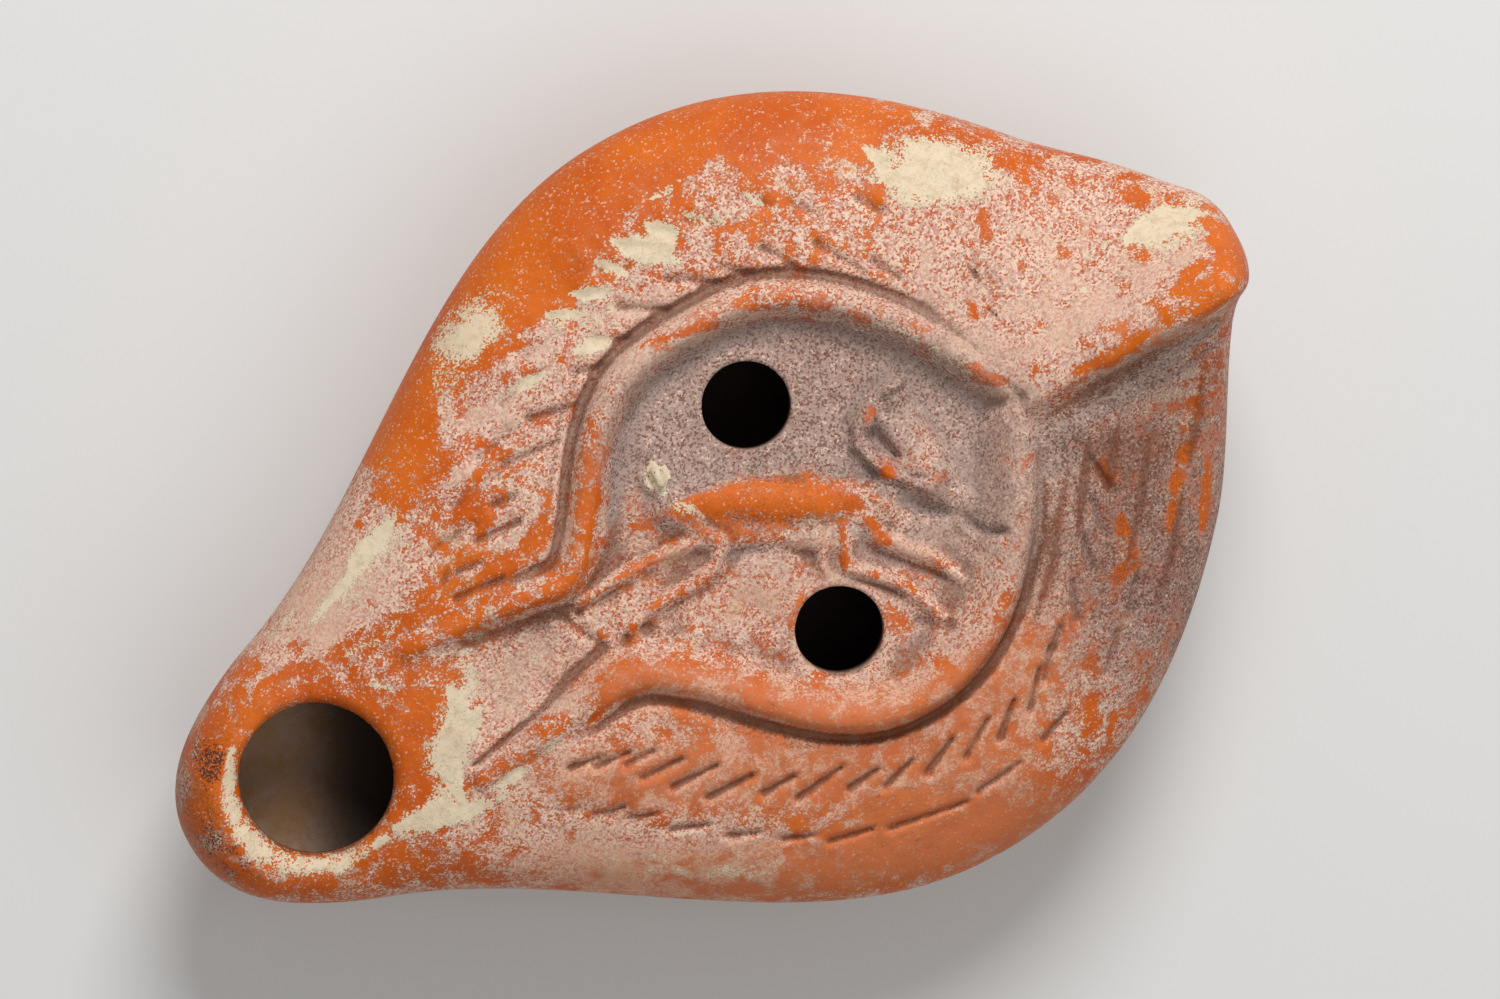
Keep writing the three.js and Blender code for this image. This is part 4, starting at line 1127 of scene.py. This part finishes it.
@dataclass(frozen=True)
class WornSlip:
    """Orange slip on fired clay under a stippled lilac bloom and cream deposits, with painted shade in its
    hollows, on walls turned from the light and deep inside.
    """

    slip: tuple = colour(204, 98, 16)
    slip_dark: tuple = colour(186, 80, 12)
    slip_light: tuple = colour(208, 114, 40)
    rosy: tuple = colour(186, 102, 66)
    dots_pale: tuple = colour(228, 204, 182)
    dots_straw: tuple = colour(216, 196, 150)
    dots_lilac: tuple = colour(186, 152, 140)
    dots_red: tuple = colour(176, 88, 58)
    veil: tuple = colour(206, 170, 150)
    peach: tuple = colour(198, 116, 76)
    peach_pale: tuple = colour(214, 158, 126)
    # Brown of stains, and of painted shade on walls and slopes turned from the light.
    stain_and_shade: tuple = colour(104, 56, 32)
    grey: tuple = colour(164, 140, 132)
    grey_dark: tuple = colour(104, 84, 76)
    # Painted shade in hollows and creases: brown on the slip, paler grey where the ground is grey.
    recess: tuple = colour(104, 58, 38)
    hollow_shade_grey: tuple = colour(146, 130, 124)
    cream: tuple = colour(216, 200, 172)
    cream_dark: tuple = colour(190, 166, 132)
    speck: tuple = colour(74, 52, 42)
    inside: tuple = colour(148, 112, 74)
    # Near-black of soot, and of the painted shade deep inside.
    soot_and_shade: tuple = colour(44, 38, 36)
    # Sizes of its patterns
    cloud_size: float = 14.0
    mottle_size: float = 2.8
    drift_size: float = 5.5
    streak_size: float = 1.1
    fleck_size: float = 2.0
    grain_size: float = 0.17
    second_size: float = 0.21
    # How strongly a layer covers those below
    bloom_strength: float = 0.75
    dots_strength: float = 0.8
    dust_strength: float = 0.4
    veil_strength: float = 0.6
    peach_strength: float = 0.7
    grey_strength: float = 0.75
    hollow_shade_strength: float = 0.72
    stain_and_shade_strength: float = 0.8
    cream_strength: float = 0.92
    speck_strength: float = 0.75
    soot_strength: float = 0.8
    # Where a layer starts and where it is whole
    bloom_range: Pair = (0.16, 0.88)
    dots_range: Pair = (-0.12, 0.12)
    dust_range: Pair = (0.9, 1.0)
    veil_range: Pair = (0.75, 1.35)
    tint_range: Pair = (0.1, 1.0)
    grey_range: Pair = (0.2, 1.0)
    hollow_shade_range: Pair = (0.2, 0.95)
    cream_range: Pair = (0.42, 0.52)
    speck_range: Pair = (1.18, 1.25)
    soot_range: Pair = (0.75, 0.95)
    # The shader's own values
    roughness: float = 0.52
    dullness: float = 0.36
    bump_strength: float = 0.6
    bump_depth: float = 0.3

    def build(self) -> bpy.types.Material:
        """Make the material."""
        bench = Bench("worn_slip")
        cloud = bench.noise(self.cloud_size, 4.0, 0.6)
        mottle = bench.noise(self.mottle_size, 6.0, 0.62, 0.5, 0.31)
        drift = bench.noise(self.drift_size, 5.0, 0.6, 1.2, 1.9)
        streak = bench.noise(self.streak_size, 5.0, 0.7, 0.2, 0.77)
        grain = bench.cells(self.grain_size, 1.3)
        second = bench.cells(self.second_size, 2.7)
        recess = bench.attribute("recess")
        crest = bench.attribute("crest")
        cool = bench.attribute("grey")
        slip = bench.mix(bench.between(cloud, 0.35, 0.65), self.slip_dark, self.slip)
        slip = bench.mix(bench.between(mottle, 0.5, 0.75) * 0.4, slip, self.slip_light)
        stir = (mottle - 0.5) * 2.4 + (streak - 0.5) * 0.9
        bloom = bench.attribute("bloom")
        dense = bench.between(bloom + stir * 1.15 - crest * 0.25, *self.bloom_range)
        base = bench.mix(dense * self.bloom_strength, slip, self.rosy)
        dots = bench.between(grain + dense * 1.1 - 1.0, *self.dots_range)
        tint = bench.mix(bench.between(second, 0.35, 0.75), self.dots_lilac, self.dots_pale)
        tint = bench.mix(bench.between(second, 0.2, 0.14), tint, self.dots_red)
        tint = bench.mix(bench.between(drift, 0.56, 0.72) * 0.6, tint, self.dots_straw)
        base = bench.mix(dots * self.dots_strength, base, tint)
        dust = bench.between(second + (streak - 0.5) * 0.5, *self.dust_range)
        base = bench.mix(dust * self.dust_strength, base, self.dots_pale)
        veiled = bench.between(bloom + (drift - 0.5) * 2.0 + (mottle - 0.5), *self.veil_range)
        base = bench.mix(veiled * self.veil_strength, base, self.veil)
        soft = bench.mix(dense * 0.7 + dust * 0.3, self.peach, self.peach_pale)
        rosied = bench.between(bench.attribute("rosy") + stir * 0.25, *self.tint_range)
        base = bench.mix(rosied * self.peach_strength, base, soft)
        greyed = bench.between(cool + stir * 0.3, *self.grey_range)
        shaded = bench.mix(bench.between(second, 0.3, 0.18), self.grey, self.grey_dark)
        shaded = bench.mix(bench.between(second, 0.8, 0.9) * 0.7, shaded, self.dots_pale)
        base = bench.mix(greyed * self.grey_strength, base, shaded)
        # Painted shade: hollows and creases darken, brown on the slip and paler grey on grey ground.
        sunken = recess + (streak - 0.5) * 0.5 + (grain - 0.5) * 0.45
        hollow = bench.between(sunken, *self.hollow_shade_range)
        hollow_shade_tint = bench.mix(greyed, self.recess, self.hollow_shade_grey)
        base = bench.mix(hollow * (self.hollow_shade_strength - greyed * 0.25), base, hollow_shade_tint)
        # Brown stains, and painted shade where that mask is set.
        stain_and_shade_level = bench.attribute("stain_and_shade") + stir * 0.25 + (grain - 0.5) * 0.6
        stain_and_shade_share = bench.between(stain_and_shade_level, *self.tint_range)
        base = bench.mix(stain_and_shade_share * self.stain_and_shade_strength, base, self.stain_and_shade)
        caked = bench.attribute("cream") + stir * 0.42 + (grain - 0.5) * 0.3
        crusted = bench.between(caked, *self.cream_range)
        cream = bench.mix(bench.between(streak, 0.45, 0.8), self.cream, self.cream_dark)
        base = bench.mix(crusted * self.cream_strength, base, cream)
        specked = second + bench.noise(self.fleck_size, 3.0, 0.6, 0.0, 4.1) * 0.6
        flecks = bench.between(specked, *self.speck_range)
        base = bench.mix(flecks * greyed * self.speck_strength, base, self.speck)
        # Soot, and painted shade on the nozzle's shaded side.
        burnt = bench.attribute("soot_and_shade") + stir * 0.55 + (grain - 0.5) * 0.9
        sooted = bench.between(burnt, *self.soot_range)
        base = bench.mix(sooted * self.soot_strength, base, self.soot_and_shade)
        inner = bench.mix(bench.between(mottle, 0.3, 0.7) * 0.6, self.inside, self.grey)
        # Painted shade: inside the hole the hollow goes soot-dark towards the reservoir.
        deep_shade = bench.between(bench.attribute("deep_shade"), *self.tint_range)
        inner = bench.mix(deep_shade * 0.9, inner, self.soot_and_shade)
        inside = bench.attribute("inside")
        base = bench.mix(inside, base, inner)
        dull = (dots * 0.8).highest(crusted).highest(inside)
        roughness = self.roughness + dull * self.dullness + (grain - 0.5) * 0.12
        relief = crusted * 0.6 + dots * 0.22 + streak * 0.5 - flecks * 0.5
        depth = {"Strength": self.bump_strength, "Distance": self.bump_depth * MM, "Height": relief}
        bump = bench.node("ShaderNodeBump", {}, depth, "Normal")
        constants = {"Specular IOR Level": 0.22, "IOR": 1.45}
        return bench.finish(constants, {"Base Color": base, "Roughness": roughness, "Normal": bump})


@dataclass(frozen=True)
class PaleGround:
    """Matt pale grey floor."""

    tone: tuple = colour(214, 213, 211)

    def build(self) -> bpy.types.Material:
        """Make the material."""
        bench = Bench("pale_ground")
        return bench.finish({"Base Color": self.tone, "Roughness": 0.9}, {})


# Building

@dataclass
class LampBody:
    """The clay body: one closed mesh with its reservoir and holes cut."""

    form: LampForm = LampForm()
    field: Field = Field()
    holes: Holes = Holes()
    shoulders: Shoulders = Shoulders()
    animal: Animal = Animal()
    unevenness: Unevenness = Unevenness()
    rings: int = 128
    top_segments: int = 80
    bottom_segments: int = 44
    fine_cuts: int = 3
    fine_foot: Pair = (13.0, 21.0)
    fine_field: float = 36.5
    fine_share: float = 0.9
    fine_channel: tuple[float, float, float] = (20.0, 59.0, 11.0)
    fine_handle: Pair = (-28.0, 7.0)
    map_cell: float = 0.4
    relief_reach: float = 1.2
    full_relief: float = 0.4
    most_relief: float = 1.2
    top_skin: float = 0.25
    lump_fade: Pair = (0.0, 5.0)
    wall_inset: float = 1.2
    under_top: float = 0.6
    over_floor: float = 0.8
    # Which way, and over what run, the painted shade inside darkens.
    deep_shade_heading: Pair = (0.49, -0.87)
    deep_shade_run: Pair = (-5.5, 6.5)
    hollow_segments: int = 64
    hollow_rings: int = 56
    mouth_segments: int = 96
    filling_segments: int = 57
    weld: float = 0.02
    flank_fade: Pair = (5.0, 14.0)
    rim_fade: Pair = (0.5, 4.0)

    def top_height(self, x: np.ndarray, y: np.ndarray) -> np.ndarray:
        """Height of the finished top face."""
        height = self.field.height(x, y)
        for touch in self.shoulders.touches():
            touch.add_to(height, x, y, 0.0)
        self.animal.add_to(height, x, y)
        inset = self.form.outline(x) * (1.0 - np.abs(self.form.across(x, y)))
        inward = ease(*self.lump_fade, inset)
        return height + self.holes.rim(x, y) + self.unevenness.at(x, y) * inward

    def is_fine(self, x: float, y: float, top: bool) -> bool:
        """Whether the mesh is divided finely at a point."""
        if not top:
            return self.fine_foot[0] < math.hypot(x - self.form.centre_x, y) < self.fine_foot[1]
        share = abs(float(self.form.across(np.array(x), np.array(y))))
        start, end, side = self.fine_channel
        rear, flank = self.fine_handle
        near_field = math.hypot(x - self.field.centre_x, y) < self.fine_field and share < self.fine_share
        near_channel = start < x < end and abs(y) < side
        near_handle = x < rear and abs(y) < flank
        return near_field or near_channel or near_handle

    def blank(self) -> bpy.types.Mesh:
        """The outer form as a closed mesh, with fine divisions where relief will be."""
        total = self.top_segments + self.bottom_segments
        shell = bmesh.new()
        bmesh.ops.create_uvsphere(shell, u_segments=total, v_segments=self.rings, radius=1.0)
        is_top = shell.verts.layers.float.new("is_top")
        for vert in shell.verts:
            polar = math.acos(max(-1.0, min(1.0, vert.co.z)))
            turn = math.atan2(vert.co.y, vert.co.x) % (2.0 * math.pi)
            index = round(turn / (2.0 * math.pi) * total) % total
            if index <= self.top_segments:
                across = math.cos(math.pi * index / self.top_segments)
                vert[is_top] = 0.5 if index in (0, self.top_segments) else 1.0
            else:
                across = -math.cos(math.pi * (index - self.top_segments) / self.bottom_segments)
                vert[is_top] = 0.0
            x = math.cos(polar) * (self.form.nozzle_end + self.form.handle_end) / 2.0
            width = float(self.form.outline(np.array(x)))
            vert.co = (x, float(self.form.skew(np.array(x))) + width * across, vert[is_top])
        edges = []
        for edge in shell.edges:
            tops = [vert[is_top] for vert in edge.verts]
            if min(tops) < 0.5 < max(tops) or max(tops) == 0.5:
                continue
            if all(self.is_fine(vert.co.x, vert.co.y, max(tops) > 0.5) for vert in edge.verts):
                edges.append(edge)
        bmesh.ops.subdivide_edges(shell, edges=edges, cuts=self.fine_cuts, use_grid_fill=True)
        x = np.array([vert.co.x for vert in shell.verts])
        y = np.array([vert.co.y for vert in shell.verts])
        tops = np.array([vert[is_top] for vert in shell.verts])
        z = np.where(tops >= 0.5, self.top_height(x, y), self.form.bottom(x, y))
        z = np.where(tops == 0.5, self.form.middle(x), z)
        for vert, height in zip(shell.verts, z):
            vert.co.z = height
            vert.co *= MM
        bmesh.ops.recalc_face_normals(shell, faces=shell.faces)
        LOG.info("open edges in the blank: %d", sum(not edge.is_manifold for edge in shell.edges))
        mesh = bpy.data.meshes.new("lamp_blank")
        shell.to_mesh(mesh)
        shell.free()
        return mesh

    def reservoir(self) -> bpy.types.Object:
        """The hollow inside, as a cutter."""
        form = self.form
        start = form.centre_x - form.rear_reach + form.wall
        end = form.nozzle_end - form.wall
        nose = form.nozzle_round - form.wall
        end_round = form.nose_round - form.wall

        def width(x: np.ndarray) -> np.ndarray:
            """Half the hollow's width at x."""
            share = np.maximum(0.0, form.centre_x - x) / (form.centre_x - start)
            bowl = (form.half_width - form.wall) * dome(share, 2)
            wall = np.maximum(0.0, form.outline(np.minimum(x, end - nose)) - form.wall)
            return np.minimum(bowl, wall) * dome(np.maximum(0.0, x - end + nose) / nose, 2)

        shell = bmesh.new()
        bmesh.ops.create_uvsphere(shell, u_segments=self.hollow_segments,
                                  v_segments=self.hollow_rings, radius=1.0)
        polar = np.array([math.acos(max(-1.0, min(1.0, vert.co.z))) for vert in shell.verts])
        turn = np.array([math.atan2(vert.co.y, vert.co.x) for vert in shell.verts])
        x = (start + end) / 2.0 + (end - start) / 2.0 * np.cos(polar)
        y = width(x) * np.cos(turn)
        share = y / np.maximum(1e-6, width(x))
        ends = dome(np.maximum(0.0, x - end + end_round) / end_round, 2)
        ends = ends * dome(np.maximum(0.0, start + 2.0 * end_round - x) / (2.0 * end_round), 2)
        ceiling = np.minimum(self.field.floor, form.crown(x)) - form.wall
        floor = form.bowl(np.minimum(x, end - end_round), x * 0.0) + form.wall
        level = form.widest_height
        over = level + (ceiling - level) * ends * dome(share, 3)
        under = level + (floor - level) * ends * dome(share, 2)
        z = np.where(np.sin(turn) >= -1e-6, over, under)
        for vert, place in zip(shell.verts, zip(x, y, z)):
            vert.co = Vector(place) * MM
        bmesh.ops.remove_doubles(shell, verts=shell.verts, dist=self.weld * MM)
        bmesh.ops.recalc_face_normals(shell, faces=shell.faces)
        return self._object("reservoir_cutter", shell)

    def hole_cutter(self, x: float, y: float, diameter: float, segments: int) -> bpy.types.Object:
        """An upright round cutter from inside the hollow up through the top."""
        low, high = self.form.widest_height, self.form.handle_peak
        cutter = bmesh.new()
        bmesh.ops.create_cone(cutter, cap_ends=True, segments=segments, radius1=diameter / 2.0 * MM,
                              radius2=diameter / 2.0 * MM, depth=(high - low) * MM)
        bmesh.ops.translate(cutter, verts=cutter.verts, vec=Vector((x, y, (low + high) / 2.0)) * MM)
        return self._object("hole_cutter", cutter)

    @staticmethod
    def _object(name: str, shell: bmesh.types.BMesh) -> bpy.types.Object:
        """An object in the scene with a bmesh's shape."""
        mesh = bpy.data.meshes.new(name)
        shell.to_mesh(mesh)
        shell.free()
        made = bpy.data.objects.new(name, mesh)
        bpy.context.scene.collection.objects.link(made)
        return made

    def build(self) -> bpy.types.Object:
        """Make the lamp's mesh, cut its hollow and holes, and paint its masks.

        Returns:
            The lamp, at the origin.
        """
        lamp = bpy.data.objects.new("clay_lamp", self.blank())
        bpy.context.scene.collection.objects.link(lamp)
        holes = self.holes
        mouth_x, mouth_y, radius = holes.mouth()
        mouth = self.hole_cutter(mouth_x, mouth_y, 2.0 * radius, self.mouth_segments)
        cutters = [self.reservoir(), mouth]
        for x, y in holes.filling_places():
            cutters.append(self.hole_cutter(x, y, holes.filling_diameter, self.filling_segments))
        for cutter in cutters:
            cut = lamp.modifiers.new("cut", "BOOLEAN")
            cut.operation = "DIFFERENCE"
            cut.solver = "MANIFOLD"
            cut.object = cutter
        graph = bpy.context.evaluated_depsgraph_get()
        carved = bpy.data.meshes.new_from_object(lamp.evaluated_get(graph))
        lamp.modifiers.clear()
        lamp.data = carved
        carved.name = "clay_lamp"
        for cutter in cutters:
            bpy.data.objects.remove(cutter)
        for face in carved.polygons:
            face.use_smooth = True
        self.paint(carved)
        return lamp

    def paint(self, mesh: bpy.types.Mesh) -> None:
        """Keep on the mesh what its finish reads: masks, painted shade in hollows, crests, the inside and
        the painted shade deep in it.

        Args:
            mesh: The carved mesh, changed in place.
        """
        places = np.zeros(len(mesh.vertices) * 3)
        mesh.vertices.foreach_get("co", places)
        x, y, z = places.reshape(-1, 3).T / MM
        form = self.form
        top = self.top_height(x, y)
        on_top = np.abs(z - top) < self.top_skin
        floor = form.bottom(x, y)
        inset = form.outline(x) * (1.0 - np.abs(form.across(x, y)))
        walled = inset > self.wall_inset
        inside = (z < top - self.under_top) & (z > floor + self.over_floor) & walled
        hollow, proud = self.relief_map(x, y)
        inward = ease(*self.rim_fade, inset)
        upward = ease(*self.flank_fade, z)
        for mask in Mask:
            # The hollow-shade mask paints shade as deep as each point lies in a hollow.
            plain = hollow * on_top * inward if mask is Mask.HOLLOW_SHADE else PLAIN[mask]
            values = np.zeros(x.shape) + plain
            for mark in marks(mask):
                values += mark.weigh(x, y) * upward
            self._keep(mesh, mask.value, values)
        self._keep(mesh, "crest", proud * on_top * inward)
        self._keep(mesh, "inside", inside.astype(float))
        # Painted shade: the inside goes dark away from the wick hole, towards the reservoir.
        aside, ahead = self.deep_shade_heading
        rearward = aside * y + ahead * (x - self.holes.wick_x)
        self._keep(mesh, "deep_shade", inside * ease(*self.deep_shade_run, rearward))

    def relief_map(self, x: np.ndarray, y: np.ndarray) -> tuple[np.ndarray, np.ndarray]:
        """How far points lie in hollows and stand on crests.

        Args:
            x: The points' x.
            y: The points' y.

        Returns:
            Depth and pride of each point, from 0 to about 1.
        """
        cell = self.map_cell
        xs = np.arange(-self.form.handle_end, self.form.nozzle_end + cell, cell)
        ys = np.arange(-self.form.half_width, self.form.half_width + cell, cell)
        grid_x, grid_y = np.meshgrid(xs, ys, indexing="ij")
        heights = self.top_height(grid_x.ravel(), grid_y.ravel()).reshape(grid_x.shape)
        hollow = (blurred(heights, self.relief_reach / cell) - heights) / self.full_relief
        column = np.clip((x - xs[0]) / cell, 0.0, len(xs) - 1.001)
        row = np.clip((y - ys[0]) / cell, 0.0, len(ys) - 1.001)
        i, j = column.astype(int), row.astype(int)
        u, v = column - i, row - j
        near = lerp(hollow[i, j], hollow[i + 1, j], u)
        far = lerp(hollow[i, j + 1], hollow[i + 1, j + 1], u)
        value = lerp(near, far, v)
        return np.clip(value, 0.0, self.most_relief), np.clip(-value, 0.0, self.most_relief)

    @staticmethod
    def _keep(mesh: bpy.types.Mesh, name: str, values: np.ndarray) -> None:
        """Store one number for each vertex."""
        layer = mesh.attributes.new(name, "FLOAT", "POINT")
        layer.data.foreach_set("value", values.astype(np.float32))

    def dress(self, lamp: bpy.types.Object, finish: WornSlip) -> None:
        """Give the lamp its finish."""
        lamp.data.materials.clear()
        lamp.data.materials.append(finish.build())


@dataclass
class Studio:
    """Pale floor, soft lights and the camera."""

    floor_size: float = 6.0
    camera_aim: tuple[float, float, float] = (-5.46, -3.87, 27.49)
    camera_distance: float = 700.0
    camera_tilt: float = 7.5
    camera_roll: float = 29.2
    camera_lens: float = 168.0
    key_place: tuple[float, float, float] = (-0.31, -0.43, 0.52)
    key_size: float = 0.35
    key_power: float = 4.75
    fill_place: tuple[float, float, float] = (-0.15, 0.3, 0.8)
    fill_size: float = 0.9
    fill_power: float = 2.1
    sky_power: float = 0.28

    def build(self) -> None:
        """Set up the floor, the lights and the camera."""
        self.floor()
        self.light("key_light", self.key_place, self.key_size, self.key_power)
        self.light("fill_light", self.fill_place, self.fill_size, self.fill_power)
        world = bpy.data.worlds.new("soft_sky")
        world.use_nodes = True
        sky = world.node_tree.nodes["Background"].inputs
        sky["Color"].default_value = (1.0, 1.0, 1.0, 1.0)
        sky["Strength"].default_value = self.sky_power
        bpy.context.scene.world = world
        bpy.context.scene.view_settings.view_transform = "Standard"
        self.camera()

    def floor(self) -> None:
        """Lay the floor."""
        plane = bmesh.new()
        bmesh.ops.create_grid(plane, x_segments=1, y_segments=1, size=self.floor_size / 2.0)
        mesh = bpy.data.meshes.new("floor")
        plane.to_mesh(mesh)
        plane.free()
        mesh.materials.append(PaleGround().build())
        floor = bpy.data.objects.new("floor", mesh)
        bpy.context.scene.collection.objects.link(floor)

    def light(self, name: str, place: tuple[float, float, float], size: float, power: float) -> None:
        """Hang one soft light that shines on the lamp."""
        lamp = bpy.data.lights.new(name, "AREA")
        lamp.shape = "DISK"
        lamp.size = size
        lamp.energy = power
        holder = bpy.data.objects.new(name, lamp)
        holder.location = place
        holder.rotation_euler = (-Vector(place)).to_track_quat("-Z", "Y").to_euler()
        bpy.context.scene.collection.objects.link(holder)

    def camera(self) -> None:
        """Set the camera at the photograph's angle."""
        roll, tilt = math.radians(self.camera_roll), math.radians(self.camera_tilt)
        right = Vector((-math.cos(roll), math.sin(roll) * math.cos(tilt), math.sin(roll) * math.sin(tilt)))
        up = Vector((-math.sin(roll), -math.cos(roll) * math.cos(tilt), -math.cos(roll) * math.sin(tilt)))
        back = Vector((0.0, -math.sin(tilt), math.cos(tilt)))
        lens = bpy.data.cameras.new("camera")
        lens.lens = self.camera_lens
        lens.sensor_width = 36.0
        lens.clip_start = 0.01
        eye = bpy.data.objects.new("camera", lens)
        turn = Matrix((right, up, back)).transposed().to_4x4()
        place = (Vector(self.camera_aim) + self.camera_distance * back) * MM
        eye.matrix_world = Matrix.Translation(place) @ turn
        bpy.context.scene.collection.objects.link(eye)
        bpy.context.scene.camera = eye


def main() -> None:
    """Build the lamp and its studio, and report what was made."""
    logging.basicConfig(level=logging.INFO)
    body = LampBody()
    lamp = body.build()
    body.dress(lamp, WornSlip())
    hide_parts("lamp_body")
    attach(lamp, "root")
    LOG.info("%s: %d faces", lamp.name, len(lamp.data.polygons))
    Studio().build()


if __name__ == "__main__":
    main()
